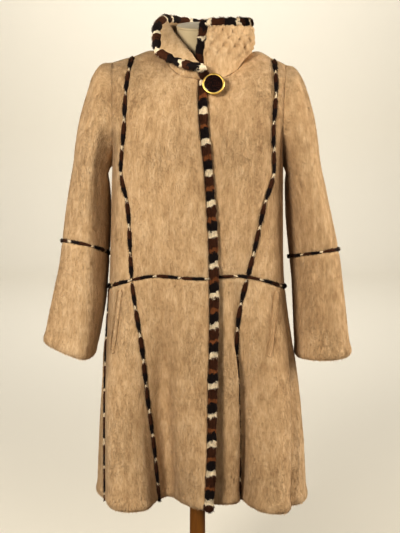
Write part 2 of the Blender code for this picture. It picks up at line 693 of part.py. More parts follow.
def collar_grid(fronts, backs):
    """Outer points of collar and binding together, and the neckline's normals.

    Rows rise, columns run along the neckline.
    """
    base, normals = split_columns(neckline(fronts, backs), COLLAR_SPLIT)
    length = np.concatenate([[0], np.cumsum(np.linalg.norm(np.diff(base, axis=0), axis=1))])
    gap_places = (COLLAR_BRAID / 2, COLLAR_BRAID, COLLAR_BRAID + SEAM_GAP)
    clear = COLLAR_BRAID + COLLAR_CLEAR
    ends = (length == 0) | (length == length[-1])
    keep = ends | ((length > clear) & (length < length[-1] - clear))
    marks = np.sort(np.concatenate([length[keep], gap_places, length[-1] - np.array(gap_places)]))
    along = marks / length[-1]
    foot = np.stack([np.interp(marks, length, base[:, k]) for k in range(3)], axis=1)
    foot_normal = np.stack([np.interp(marks, length, normals[:, k]) for k in range(3)], axis=1)
    table = through([row[0] for row in COLLAR], [row[1:] for row in COLLAR], along)
    crest, edge = table[:, :3], table[:, 3:6]
    middle = (crest + edge) / 2 - table[:, 6:] * np.array([0, 0, 1])
    stand = np.linalg.norm(crest - foot, axis=1)
    flap = np.linalg.norm(edge - crest, axis=1)
    tall = stand + flap
    top = tall - COLLAR_BRAID - SEAM_GAP
    zone = np.minimum(TUCK_ZONE, ZONE_SHARE * top)
    past = stand + FOLD_ROUND
    standing = [0 * tall, (top - zone) / 2, *(top - zone * (1 - step / 4) for step in range(5))]
    rolled = [0 * tall, stand / 2, stand, past, past + (top - past) / 3, past + (top - past) * 2 / 3, top]
    share = smooth((along - ROLL_END) / ROLL_FADE)
    lengths = [up * share + out * (1 - share) for up, out in zip(standing, rolled)]
    lengths += [tall - COLLAR_BRAID, tall - COLLAR_BRAID / 2, tall]
    outer = np.empty((len(lengths), len(marks), 3))
    for column in range(len(marks)):
        corners = np.array([foot[column], crest[column], middle[column], edge[column]])
        outer[:, column] = rounded(corners, [length[column] for length in lengths])
    return outer, foot_normal


def rounded(corners, lengths):
    """Points at these lengths along the line through the corners, with its bends rounded off."""
    before, after = corners[0] - corners[1], corners[-1] - corners[-2]
    line = np.array([corners[0] + unit(before) * 0.1, *corners, corners[-1] + unit(after) * 0.1])
    places = np.concatenate([[0], np.cumsum(np.linalg.norm(np.diff(line, axis=0), axis=1))])
    places = (places - 0.1) * (lengths[-1] / (places[-2] - 0.1))
    around = np.array(lengths)[:, None] + np.linspace(-FOLD_ROUND, FOLD_ROUND, 9)
    return np.stack([np.interp(around, places, line[:, k]).mean(axis=1) for k in range(3)], axis=1)


def collar_normals(outer, foot_normal):
    along = np.gradient(outer, axis=1)
    up = np.gradient(outer, axis=0)
    normals = unit(np.cross(up, along))
    normals[0] = foot_normal
    normals[1] = unit(normals[1] + foot_normal)
    normals[-4] = normals[-3] = unit(normals[-4] + normals[-3])
    normals[:, 3] = normals[:, 2] = unit(normals[:, 3] + normals[:, 2])
    normals[:, -4] = normals[:, -3] = unit(normals[:, -4] + normals[:, -3])
    return normals


def tucks(rows, columns):
    """How far the gathers stand out: a lattice of soft lumps, every other point of the grid."""
    height = np.zeros((rows, columns))
    places = np.arange(4, columns - 4)
    fade = smooth((places / columns - TUCK_FROM) / ROLL_FADE)
    for row, share in enumerate(TUCK_SHARES, start=1):
        height[row, 4:-4] = share * TUCK_HEIGHT * fade * ((places + row) % 2)
    return height


# ---------------------------------------------------------------- making the objects
def start_scene():
    for thing in list(bpy.data.objects):
        bpy.data.objects.remove(thing, do_unlink=True)
    parts = bpy.data.collections.new("faux_fur_coat")
    bpy.context.scene.collection.children.link(parts)
    return parts


# Each material's colour, roughness and metallic share.
MATERIALS = {
    "fur": ((0.60, 0.43, 0.29), 0.95, 0.0),
    "braid": ((0.05, 0.03, 0.02), 0.9, 0.0),
    "gold": ((0.80, 0.60, 0.20), 0.25, 1.0),
    "enamel": ((0.02, 0.012, 0.01), 0.15, 0.0),
    "form_cloth": ((0.74, 0.68, 0.55), 0.9, 0.0),
    "wood": ((0.30, 0.17, 0.08), 0.45, 0.0),
}


def material(name):
    found = bpy.data.materials.get(name)
    if found:
        return found
    colour, roughness, metallic = MATERIALS[name]
    found = bpy.data.materials.new(name)
    found.use_nodes = True
    shader = found.node_tree.nodes["Principled BSDF"]
    shader.inputs["Base Color"].default_value = (*colour, 1.0)
    shader.inputs["Roughness"].default_value = roughness
    shader.inputs["Metallic"].default_value = metallic
    return found


def add_mesh(parts, name, points, faces, made_of):
    mesh = bpy.data.meshes.new(name)
    mesh.from_pydata([tuple(point) for point in points], [], faces)
    solid = bmesh.new()
    solid.from_mesh(mesh)
    bmesh.ops.delete(solid, geom=[vert for vert in solid.verts if not vert.link_faces], context="VERTS")
    bmesh.ops.recalc_face_normals(solid, faces=solid.faces)
    solid.to_mesh(mesh)
    solid.free()
    mesh.materials.append(material(made_of))
    piece = bpy.data.objects.new(name, mesh)
    parts.objects.link(piece)


def add_panel(parts, name, sheet, edges):
    """A cloth panel: the sheet is its face, its inside lies one wall further in.

    At its seams it stops half a gap short.
    """
    outer, inner = drawn_in(sheet.points, sheet.moved(-WALL), SEAM_GAP / 2, edges)
    add_mesh(parts, name, *wall_mesh(outer, inner), "fur")


def add_braid(parts, name, sheet, across_columns, ends=()):
    """A braid laid on a panel's own points, thicker along its middle line of points."""
    crown = np.full(sheet.points.shape[:2], BRAID_THICK * BRAID_EDGE)
    if across_columns:
        crown[:, 1] = BRAID_THICK
    else:
        crown[1] = BRAID_THICK
    under, over = sheet.moved(SEAM_GAP), sheet.moved(SEAM_GAP + crown)
    over, under = drawn_in(over, under, SEAM_GAP, ends)
    add_mesh(parts, name, *wall_mesh(over, under), "braid")


def add_front_braid(parts, low_edge, high_edge):
    """The braid bound round the lapping front's edge, from the hem to the neck."""
    sheet = above(low_edge, high_edge)
    proud = np.full(sheet.points.shape[:2], FRONT_BRAID_PROUD[0])
    proud[:, 1] = FRONT_BRAID_PROUD[1]
    outer, inner = drawn_in(sheet.moved(proud), sheet.moved(-WALL), SEAM_GAP / 2, ("end",))
    add_mesh(parts, "front_edge_braid", *wall_mesh(outer, inner), "braid")


def front_braid_columns(side, height):
    start, end = edge_t(side, height), centre_columns(side, height)[1]
    return np.array([start, (start + end) / 2, end])


def build_fronts(parts):
    """The fronts with their trims; returns the upper fronts and the backs' sheets, for what joins them."""
    fronts, backs = {}, {}
    for side, word in ((RIGHT, "right"), (LEFT, "left")):
        low = sheet_of(side, LOW_ROWS, front_columns)
        high = sheet_of(side, HIGH_ROWS, front_columns)
        back_low = sheet_of(side, LOW_ROWS, back_columns)
        back_high = sheet_of(side, HIGH_ROWS, back_columns)
        share_shoulder_normals(high, back_high)
        share_armhole_normals(side, high, back_high)
        fronts[side], backs[side] = high, back_high
        share_neck_normals(high, back_high)
        first = 1 if side == RIGHT else 0
        princess = NECK_STEPS + SHOULDER_STEPS + 2
        start_edges = ("start",) if side == RIGHT else ()
        add_panel(parts, f"{word}_front_centre_upper", high.part(columns=slice(first, princess + 1)),
                  ("bottom", "top", "end") + start_edges)
        add_panel(parts, f"{word}_front_centre_lower", low.part(columns=slice(first, princess + 1)),
                  ("top", "end") + start_edges)
        add_panel(parts, f"{word}_front_side_upper", high.part(columns=slice(princess, None)),
                  ("bottom", "top", "start", "end"))
        add_panel(parts, f"{word}_front_side_lower", low.part(columns=slice(princess, None)),
                  ("top", "start", "end"))
        seam = slice(princess - 1, princess + 2)
        add_braid(parts, f"{word}_princess_braid_upper", high.part(slice(1, None), seam), True, ("bottom",))
        add_braid(parts, f"{word}_princess_braid_lower", low.part(slice(None, -1), seam), True, ("top",))
        hip = above(low.part(slice(-2, None)), high.part(slice(None, 2)))
        add_braid(parts, f"{word}_hip_braid", hip.part(columns=slice(first, None)), False, ("start", "end"))
        front_half = low.part(slice(None, -1), slice(-2, None))
        back_half = back_low.part(slice(None, -1), slice(None, 2))
        add_braid(parts, f"{word}_side_braid", beside(front_half, back_half), True, ("top",))
        if side == RIGHT:
            add_front_braid(parts, sheet_of(side, LOW_ROWS, front_braid_columns),
                            sheet_of(side, HIGH_ROWS, front_braid_columns))
        add_welt(parts, f"{word}_pocket_welt", side, low.part(columns=slice(princess, None)))
        backs[side, "low"] = back_low
    return fronts, backs


def on_sheet(sheet, row, column):
    """A point of the sheet's own triangles and the normal there, at a fraction of a row and a column."""
    low, left = int(row), int(column)
    v, u = row - low, column - left
    found = []
    for grid in (sheet.points, sheet.normals):
        a, b = grid[low, left], grid[low, left + 1]
        c, d = grid[low + 1, left + 1], grid[low + 1, left]
        found.append(a + u * (b - a) + v * (c - b) if u > v else a + v * (d - a) + u * (c - d))
    return found[0], unit(found[1])


def add_welt(parts, name, side, panel):
    """The pocket's welt: a slanted strip laid on the side panel's own triangles."""
    (top_height, top_t), (low_height, low_t) = POCKET[side]
    points, normals = [], []
    for share in np.linspace(0, 1, WELT_STEPS + 1):
        height = low_height + share * (top_height - low_height)
        t = low_t + share * (top_t - low_t)
        row = np.interp(height, LOW_ROWS, range(len(LOW_ROWS)))
        below, part = int(row), row - int(row)
        low_t_columns = side_columns(side, LOW_ROWS[below])
        high_t_columns = side_columns(side, LOW_ROWS[below + 1])
        t_columns = (1 - part) * low_t_columns + part * high_t_columns
        column = np.interp(t, t_columns, range(len(t_columns)))
        wide = np.linalg.norm(panel.points[below, int(column) + 1] - panel.points[below, int(column)])
        for step in (-0.5, 0.0, 0.5):
            point, normal = on_sheet(panel, row, column + step * WELT_WIDE / wide)
            points.append(point)
            normals.append(normal)
    shape = (WELT_STEPS + 1, 3, 3)
    strip = Sheet(np.reshape(points, shape), np.reshape(normals, shape))
    crown = np.full(shape[:2], WELT_THICK * WELT_EDGE)
    crown[:, 1] = WELT_THICK
    add_mesh(parts, name, *wall_mesh(strip.moved(WELT_GAP + crown), strip.moved(WELT_GAP)), "fur")


def mirrored_join(right, left):
    """The back as one sheet, from the right side to the left."""
    return beside(right, Sheet(left.points[:, ::-1], left.normals[:, ::-1]))


def build_back(parts, backs):
    high = mirrored_join(backs[RIGHT], backs[LEFT])
    low = mirrored_join(backs[RIGHT, "low"], backs[LEFT, "low"])
    add_panel(parts, "back_upper", high, ("bottom", "top", "start", "end"))
    add_panel(parts, "back_lower", low, ("top", "start", "end"))
    hip = above(low.part(slice(-2, None)), high.part(slice(None, 2)))
    add_braid(parts, "back_hip_braid", hip, False, ("start", "end"))


def share_shoulder_normals(front, back):
    """The two sides of a shoulder seam get the same points and one normal at each."""
    count = SIDE_STEPS + SHOULDER_STEPS + 4
    back.points[-1, :count] = front.points[-1, -count:][::-1]
    mean = unit(front.normals[-1, -count:] + back.normals[-1, :count][::-1])
    front.normals[-1, -count:] = mean
    back.normals[-1, :count] = mean[::-1]


def share_neck_normals(front, back):
    """Evens out the normals along the neckline, so that the collar's wall can follow the panels' walls."""
    neck, centre = NECK_STEPS + 1, BACK_STEPS + 1
    line = np.concatenate([front.normals[-1, : neck + 1], back.normals[-1, -centre + 1:]])
    for _ in range(NECK_EVENING):
        line[1:-1] = unit(line[:-2] + 2 * line[1:-1] + line[2:])
    front.normals[-1, : neck + 1] = line[: neck + 1]
    back.normals[-1, -centre:] = line[neck:]


def share_armhole_normals(side, front, back):
    """At the armhole the walls of body and sleeve meet halfway between their two directions."""
    first = HIGH_ROWS.index(UNDERARM)
    hole = armhole(front, back)
    band = sleeve_sheet(side, hole, RINGS[:2], own_start=True).normals[0]
    mean = unit(hole.normals[0] + band)
    count = front.points.shape[0] - first
    front.normals[first:, -1] = mean[:count]
    back.normals[first:, 0] = np.concatenate([mean[:1], mean[count:][::-1], mean[count - 1: count]])


def build_sleeves(parts, fronts, backs):
    elbow_row = RINGS.index(ELBOW) + 1
    for side, word in ((RIGHT, "right"), (LEFT, "left")):
        sleeve = sleeve_sheet(side, armhole(fronts[side], backs[side]), RINGS)
        high, low = sleeve.part(slice(None, elbow_row + 1)), sleeve.part(slice(elbow_row, None))
        outer, inner = drawn_in(high.points, high.moved(-WALL), SEAM_GAP / 2, ("top",))
        add_mesh(parts, f"{word}_sleeve_upper", *wall_mesh(outer, inner, closed=True), "fur")
        outer, inner = drawn_in(low.points, low.moved(-WALL), SEAM_GAP / 2, ("bottom",))
        add_mesh(parts, f"{word}_sleeve_lower", *wall_mesh(outer, inner, closed=True), "fur")
        elbow = sleeve.part(slice(elbow_row - 1, elbow_row + 2))
        crown = np.full(elbow.points.shape[:2], BRAID_THICK * BRAID_EDGE)
        crown[1] = BRAID_THICK
        braid = wall_mesh(elbow.moved(SEAM_GAP + crown), elbow.moved(SEAM_GAP), closed=True)
        add_mesh(parts, f"{word}_elbow_braid", *braid, "braid")


def build_collar(parts, fronts, backs):
    outer, foot_normal = collar_grid(fronts, backs)
    normals = collar_normals(outer, foot_normal)
    rows, columns = outer.shape[:2]
    across = unit(np.cross(np.gradient(outer[0], axis=0), foot_normal))
    outer = outer + NECK_SEAM_GAP * across
    thick = np.full((rows, columns), COLLAR_WALL)
    thick[0] = WALL
    cells = np.zeros((rows - 1, columns - 1), bool)
    cells[:-3, 3:-3] = True
    band = outer + normals * tucks(rows, columns)[..., None]
    inner = outer - normals * thick[..., None]
    add_mesh(parts, "collar", *wall_mesh(band, inner, cells=cells, lattice=True), "fur")
    proud = np.full((rows, columns), COLLAR_BRAID_PROUD[0])
    proud[:, [1, -2]] = COLLAR_BRAID_PROUD[1]
    proud[-2, 1:-1] = COLLAR_BRAID_PROUD[1]
    proud[0] = 0.0
    cells = np.zeros((rows - 1, columns - 1), bool)
    cells[:, :2] = cells[:, -2:] = True
    cells[-2:] = True
    under = outer - normals * (thick + proud)[..., None]
    proud[1:5, 1] = COLLAR_BRAID_PROUD[0]  # flat where the front folds on itself
    over = outer + normals * proud[..., None]
    add_mesh(parts, "collar_braid", *wall_mesh(over, under, cells=cells), "braid")


# ---------------------------------------------------------------- button
BUTTON_AT = (0.0353, -0.1212, 1.3765)  # the middle of its back
BUTTON_TILT = 20  # degrees that its face looks up
RIM_RADIUS, RIM_INSIDE, BUTTON_THICK, BUTTON_HOLLOW = 0.0245, 0.0200, 0.0055, 0.0020
SHANK_RADIUS, SHANK_LONG = 0.004, 0.0150
TURN_STEPS = 32


def turned(parts, name, profile, made_of, place=(0, 0, 0), tilt=0, steps=TURN_STEPS):
    """A piece turned about its own Z axis from (radius, height) pairs that start and end on the axis."""
    mesh = bpy.data.meshes.new(name)
    edges = [(index, index + 1) for index in range(len(profile) - 1)]
    mesh.from_pydata([(radius, 0, height) for radius, height in profile], edges, [])
    mesh.materials.append(material(made_of))
    piece = bpy.data.objects.new(name, mesh)
    parts.objects.link(piece)
    screw = piece.modifiers.new("turn", "SCREW")
    screw.steps = screw.render_steps = steps
    screw.use_merge_vertices = True
    screw.merge_threshold = 1e-5
    screw.use_normal_flip = True
    piece.location = place
    piece.rotation_euler = (math.radians(tilt), 0, 0)


def build_button(parts):
    """A round button lying parallel to the lapping front, on a shank that reaches the front below it."""
    bevel = 0.0012
    rim = (
        (0, -SHANK_LONG),
        (SHANK_RADIUS, -SHANK_LONG),
        (SHANK_RADIUS, 0),
        (RIM_RADIUS - 2 * bevel, 0),
        (RIM_RADIUS - bevel / 2, bevel / 2),
        (RIM_RADIUS, 2 * bevel),
        (RIM_RADIUS - bevel / 2, BUTTON_THICK - bevel / 2),
        (RIM_RADIUS - 2 * bevel, BUTTON_THICK),
        (RIM_INSIDE + bevel / 2, BUTTON_THICK - bevel / 3),
        (RIM_INSIDE, BUTTON_THICK - bevel),
        (RIM_INSIDE, BUTTON_THICK - BUTTON_HOLLOW),
        (0, BUTTON_THICK - BUTTON_HOLLOW),
    )
    centre = RIM_INSIDE - SEAM_GAP
    bottom = BUTTON_THICK - BUTTON_HOLLOW + SEAM_GAP
    disc = (
        (0, bottom),
        (centre, bottom),
        (centre, bottom + 0.0006),
        (centre * 0.75, bottom + 0.0012),
        (centre * 0.4, bottom + 0.0015),
        (0, bottom + 0.0016),
    )
    turned(parts, "button_rim_and_shank", rim, "gold", BUTTON_AT, 90 - BUTTON_TILT)
    turned(parts, "button_centre", disc, "enamel", BUTTON_AT, 90 - BUTTON_TILT)


# ---------------------------------------------------------------- dress form and stand
# How far inside the cloth the form stays, at each height.
FORM_CLEARANCE = ((0.80, 0.050), (0.95, 0.045), (1.05, 0.060), (1.13, 0.035), (1.19, 0.020),
                  (1.27, 0.008), (1.35, 0.002), (1.394, 0.0012), (1.45, 0.0020))
FORM_LOW_ROWS = (0.80, 0.90, 1.00, 1.10, UNDERARM)
FORM_NECK_IN = 0.006  # further inside still below the collar
FORM_NECK_REACH = (0.62, 0.25)  # that ends at this t, over this much of it
FORM_SIDE_T = 0.975  # the side columns below the arms stop short of the side line
FORM_TOP_SHARE = 0.80  # the last ring, between the last two rows of the panels
FORM_NECK_STEPS = 4
ARM_PLATE_IN = 0.003
NECK_MIDDLE = (0.004, 0.002)
NECK_RADIUS = 0.0515
NECK_BASE, NECK_TOP, NECK_SLANT = 1.468, 1.503, 0.20
# The loft from the shoulders to the neck: how near each ring is to the neck in plan and in height.
NECK_LOFT = ((0.30, 0.22), (0.62, 0.55), (0.88, 0.85), (1.0, 1.0))
CAP_THICK = 0.004
POLE_RADIUS = 0.0185
BASE_RADIUS, BASE_THICK = 0.190, 0.022


def form_low_row(side, height):
    """Front columns, centre to side, then back columns, side to centre, inside the coat's plain section."""
    shares = np.concatenate([
        np.linspace(0, NECK_T, FORM_NECK_STEPS + 1)[:-1],
        np.linspace(NECK_T, FORM_SIDE_T, SIDE_STEPS + SHOULDER_STEPS + 4),
    ])
    t = np.concatenate([shares, (2 - shares)[::-1]])
    x, y = level_points(side, height, t)
    inset = WALL + read(FORM_CLEARANCE, height)
    narrower, shallower = 1 - inset / np.abs(x).max(), 1 - inset / np.abs(y).max()
    return np.stack([x * narrower, y * shallower, np.full_like(x, height)], axis=1)


def form_high_row(side, height):
    front = front_columns(side, height)[NECK_STEPS + 1:]
    back = back_columns(side, height)[:-BACK_STEPS]
    front = np.concatenate([np.linspace(0, front[0], FORM_NECK_STEPS + 1)[:-1], front])
    back = np.concatenate([back, np.linspace(back[-1], 2, FORM_NECK_STEPS + 1)[1:]])
    t = np.concatenate([front, back])
    points = net(side, height, t)
    points[:, 1] += lap(side, height, points[:, 0] - LAP_TURN) * (t <= 1)
    normals = net_normals(side, height, t)
    if height == TOP:
        count = len(front) - FORM_NECK_STEPS
        sheet = [slice(len(front) - count, len(front)), slice(len(front), len(front) + count)]
        mean = unit(normals[sheet[0]] + normals[sheet[1]][::-1])
        normals[sheet[0]], normals[sheet[1]] = mean, mean[::-1]
        points[sheet[1]] = points[sheet[0]][::-1]
    inset = WALL + np.interp(height, *zip(*FORM_CLEARANCE))
    inset = inset + FORM_NECK_IN * smooth(
        (FORM_NECK_REACH[0] - np.minimum(t, 2 - t)) / FORM_NECK_REACH[1]
    )
    points = points - normals * inset[:, None]
    edge = len(front) - 1
    points[edge: edge + 2] -= normals[edge: edge + 2] * ARM_PLATE_IN
    for armhole_column, beyond in ((edge, edge - 1), (edge + 1, edge + 2)):
        points[armhole_column] += ARM_PLATE_IN * unit(points[beyond] - points[armhole_column])
    return points


def form_rows(side):
    rows = [form_low_row(side, height) for height in FORM_LOW_ROWS]
    rows += [form_high_row(side, height) for height in HIGH_ROWS[HIGH_ROWS.index(UNDERARM) + 1:-1]]
    rows.append(rows[-1] + (form_high_row(side, TOP) - rows[-1]) * FORM_TOP_SHARE)
    return np.array(rows)


def build_form(parts):
    right, left = form_rows(RIGHT), form_rows(LEFT)
    rings = np.concatenate([right, left[:, -2:0:-1]], axis=1)
    row_count, around = rings.shape[:2]
    half = right.shape[1]  # columns of one side, centre front to centre back
    points = [tuple(point) for point in rings.reshape(-1, 3)]
    faces = [list(range(around))[::-1]]
    for row in range(row_count - 1):
        for column in range(around):
            after = (column + 1) % around
            low, high = row * around, (row + 1) * around
            faces.append([low + column, low + after, high + after])
            faces.append([low + column, high + after, high + column])
    top = (row_count - 1) * around
    neck = FORM_NECK_STEPS
    for place in range(neck, half // 2 - 1):
        opposite = half - 1 - place
        faces.append([top + place, top + place + 1, top + opposite - 1, top + opposite])
        faces.append([top + (around - place) % around, top + (around - opposite),
                      top + (around - opposite + 1), top + around - place - 1])
    loop = [top + (around - step) % around for step in range(neck, -neck - 1, -1)]
    loop += [top + half - 1 + step for step in range(-neck, neck + 1)]
    add_neck(points, faces, loop)
    add_mesh(parts, "form_torso_and_neck", np.array(points), faces, "form_cloth")


def add_neck(points, faces, loop):
    """Rings from the shoulders' opening to the neck, then up to its slanted top."""
    start = np.array([points[index] for index in loop])
    middle = np.array([*NECK_MIDDLE])
    spread = (start[:, :2] - middle) / np.ptp(start[:, :2], axis=0)
    round_plan = middle + NECK_RADIUS * unit(spread)
    rings = []
    for plan_share, height_share in NECK_LOFT:
        plan = start[:, :2] + (round_plan - start[:, :2]) * plan_share
        rings.append(np.column_stack([plan, start[:, 2] + (NECK_BASE - start[:, 2]) * height_share]))
    rings.append(np.column_stack([round_plan, NECK_TOP + NECK_SLANT * (round_plan[:, 1] - middle[1])]))
    below = loop
    for ring in rings:
        above_it = list(range(len(points), len(points) + len(ring)))
        points.extend(tuple(point) for point in ring)
        for place, after in zip(range(len(ring)), [*range(1, len(ring)), 0]):
            faces.append([below[place], below[after], above_it[after], above_it[place]])
        below = above_it
    faces.append(below)


def build_stand(parts):
    slant = math.degrees(math.atan(NECK_SLANT))
    radius = NECK_RADIUS - 0.0005
    cap = ((0, 0), (radius, 0), (radius, CAP_THICK / 2), (radius - 0.002, CAP_THICK), (0, CAP_THICK))
    turned(parts, "neck_cap", cap, "form_cloth", (*NECK_MIDDLE, NECK_TOP + SEAM_GAP), slant)
    low, high = BASE_THICK + SEAM_GAP, FORM_LOW_ROWS[0] - SEAM_GAP
    pole = ((0, low), (POLE_RADIUS, low), (POLE_RADIUS, high), (0, high))
    turned(parts, "pole", pole, "wood")
    base = (
        (0, 0),
        (BASE_RADIUS - 0.004, 0),
        (BASE_RADIUS, 0.004),
        (BASE_RADIUS, BASE_THICK - 0.008),
        (BASE_RADIUS - 0.003, BASE_THICK - 0.002),
        (BASE_RADIUS - 0.010, BASE_THICK),
        (0, BASE_THICK),
    )
    turned(parts, "base", base, "wood", steps=48)


def main():
    parts = start_scene()
    fronts, backs = build_fronts(parts)
    build_back(parts, backs)
    build_sleeves(parts, fronts, backs)
    build_collar(parts, fronts, backs)
    build_button(parts)
    build_form(parts)
    build_stand(parts)


if __name__ == "__main__":
    main()
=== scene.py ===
"""The looks of a tan faux fur swing coat on a limbless dress form with its stand.

Metres, +Z up, the front faces -Y. Sides are the wearer's: RIGHT is -X and laps over LEFT.

The coat's cloth is one surface, CoatShape.net(side, height, t): t is 0 at the centre front, 1 at the side
seam or armhole and 2 at the centre back. Coarse grids of it are the solids' own; the fur here follows
the same grids, refined to a few millimetres, with plump seams, a soft nap and fibres.
"""

from __future__ import annotations

import itertools
import logging
import math
from dataclasses import dataclass, field, replace
from enum import Enum, IntEnum
from typing import Callable, Iterable, Sequence

import bmesh
import bpy
import numpy as np
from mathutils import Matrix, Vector

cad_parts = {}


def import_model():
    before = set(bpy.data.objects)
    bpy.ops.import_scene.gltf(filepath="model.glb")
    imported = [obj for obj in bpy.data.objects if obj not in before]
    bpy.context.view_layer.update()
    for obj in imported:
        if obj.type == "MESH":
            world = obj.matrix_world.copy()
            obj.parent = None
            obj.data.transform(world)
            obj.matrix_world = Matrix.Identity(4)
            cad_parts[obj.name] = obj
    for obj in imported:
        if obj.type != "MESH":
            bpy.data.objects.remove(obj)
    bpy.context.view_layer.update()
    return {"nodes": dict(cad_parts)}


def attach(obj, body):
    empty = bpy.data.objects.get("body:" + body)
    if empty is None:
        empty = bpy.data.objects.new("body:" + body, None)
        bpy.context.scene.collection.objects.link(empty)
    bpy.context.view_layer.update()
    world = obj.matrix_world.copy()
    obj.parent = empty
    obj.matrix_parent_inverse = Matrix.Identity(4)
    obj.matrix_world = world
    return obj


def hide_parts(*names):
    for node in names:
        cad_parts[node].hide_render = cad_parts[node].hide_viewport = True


LOG = logging.getLogger("coat")
BODY = "root"
Array = np.ndarray
Material = bpy.types.Material
Piece = bpy.types.Object
Socket = bpy.types.NodeSocket
Colour = tuple[float, float, float]
Point = tuple[float, float, float]


class Side(IntEnum):
    """The wearer's sides, as signs of x."""

    RIGHT = -1
    LEFT = 1

    @property
    def word(self) -> str:
        """The side's name as it stands in the nodes' names."""
        return self.name.lower()


# --- the coat's sizes
WALL = 0.006  # backing and sheared pile together
COLLAR_WALL = 0.009
SEAM_GAP = 0.0003
HEM, HIP_SEAM, FOLD_TOP, UNDERARM, TOP = 0.42, 0.952, 1.15, 1.19, 1.45
BRAID_HALF = 0.005
FRONT_BRAID = 0.021
NECK_T, PRINCESS_T = 0.435, 0.66

# height and how far the lapping front stands off there
LAP_LIFT = ((0.42, 0.0105), (1.36, 0.0105), (1.45, 0.0125))
LAP_REACH, LAP_FADE, LAP_TURN = 0.040, 0.060, 0.012
# t and how far the hip seam drops there
HIP_DROP = ((-0.2, 0.0), (0.0, 0.0), (0.45, 0.002), (0.66, 0.016), (0.82, 0.030), (1.0, 0.040), (2.0, 0.022))
HIP_DROP_BELOW, HIP_DROP_ABOVE = 0.30, 0.20
# height, half width right and left, depth front and back, squareness
SECTIONS = (
    (0.42, 0.234, 0.250, 0.140, 0.165, 2.7),
    (0.66, 0.226, 0.238, 0.142, 0.155, 2.6),
    (0.82, 0.217, 0.221, 0.140, 0.146, 2.5),
    (0.95, 0.207, 0.206, 0.137, 0.139, 2.4),
    (1.05, 0.201, 0.200, 0.134, 0.131, 2.5),
    (1.19, 0.194, 0.195, 0.130, 0.122, 2.9),
)
# the hem's plan, x and y at each crest, flank and valley of the folds
HEM_PLAN = {
    Side.RIGHT: (
        ("edge", 0.034, -0.158),
        ("centre", 0.000, -0.143),
        ("inner flank", -0.036, -0.104),
        ("front valley", -0.067, -0.061),
        ("outer flank", -0.090, -0.094),
        ("front ridge", -0.118, -0.159),
        ("ridge crown", -0.157, -0.171),
        ("ridge shoulder", -0.193, -0.154),
        ("side seam", -0.215, -0.092),
        ("side ridge", -0.239, -0.030),
        ("side valley", -0.214, 0.035),
        ("back ridge", -0.205, 0.108),
        ("back crown", -0.165, 0.156),
        ("back valley", -0.115, 0.118),
        ("centre ridge", -0.052, 0.162),
        ("centre back", 0.000, 0.168),
    ),
    Side.LEFT: (
        ("edge", -0.030, -0.108),
        ("centre", 0.000, -0.112),
        ("inner ridge", 0.038, -0.120),
        ("inner crown", 0.072, -0.120),
        ("front valley", 0.096, -0.084),
        ("outer flank", 0.117, -0.130),
        ("front ridge", 0.148, -0.172),
        ("ridge crown", 0.186, -0.183),
        ("ridge edge", 0.212, -0.166),
        ("side seam", 0.213, -0.136),
        ("side ridge", 0.243, -0.112),
        ("side crown", 0.257, -0.050),
        ("side valley", 0.241, 0.022),
        ("back ridge", 0.237, 0.096),
        ("back crown", 0.180, 0.150),
        ("back valley", 0.122, 0.114),
        ("centre ridge", 0.056, 0.160),
        ("centre back", 0.000, 0.168),
    ),
}
FOLD_WARP = {Side.RIGHT: 0.0, Side.LEFT: 0.05}
FOLD_POWER = {Side.RIGHT: 1.5, Side.LEFT: 1.35}
# height, then x, y, z at the columns NET_T: centre, neck front, neck side, princess, armhole
NET_T = (0.0, 0.27, NECK_T, PRINCESS_T, 1.0)
FRONT_NET = (
    (1.280, ((0.0, -0.131, 1.265), (0.070, -0.130, 1.270), (0.112, -0.122, 1.274),
             (0.165, -0.101, 1.280), (0.190, -0.080, 1.284))),
    (1.360, ((0.0, -0.117, 1.328), (0.066, -0.114, 1.338), (0.108, -0.100, 1.352),
             (0.166, -0.078, 1.362), (0.192, -0.062, 1.360))),
    (1.415, ((0.0, -0.104, 1.366), (0.065, -0.090, 1.380), (0.107, -0.056, 1.413),
             (0.163, -0.043, 1.411), (0.195, -0.034, 1.400))),
    (1.450, ((0.0, -0.096, 1.386), (0.066, -0.068, 1.402), (0.107, -0.003, 1.448),
             (0.160, 0.000, 1.437), (0.198, 0.002, 1.424))),
)
BACK_NET = (
    (1.280, ((0.0, 0.124, 1.280), (0.070, 0.122, 1.280), (0.112, 0.117, 1.280),
             (0.163, 0.100, 1.280), (0.188, 0.080, 1.282))),
    (1.360, ((0.0, 0.110, 1.362), (0.062, 0.106, 1.364), (0.108, 0.095, 1.366),
             (0.163, 0.077, 1.364), (0.192, 0.060, 1.358))),
    (1.415, ((0.0, 0.090, 1.432), (0.055, 0.080, 1.434), (0.107, 0.052, 1.420),
             (0.163, 0.043, 1.412), (0.195, 0.036, 1.400))),
    (1.450, ((0.0, 0.080, 1.464), (0.057, 0.060, 1.462), (0.107, -0.003, 1.448),
             (0.160, 0.000, 1.437), (0.198, 0.002, 1.424))),
)
# height and how far the neck opening stands off to the wearer's left; then the columns' shares of it
NECK_SHIFT = ((1.19, 0.0), (1.28, 0.004), (1.36, 0.010), (1.415, 0.014), (1.45, 0.017))
SHIFT_SHARE = (1.0, 1.0, 1.0, 0.80, 0.25)
# the wearer's left shoulder hangs lower by this much at each column, fully at the top
LEFT_DROP = (0.0, 0.0, 0.001, 0.006, 0.006)
LEFT_DROP_FROM = 1.30
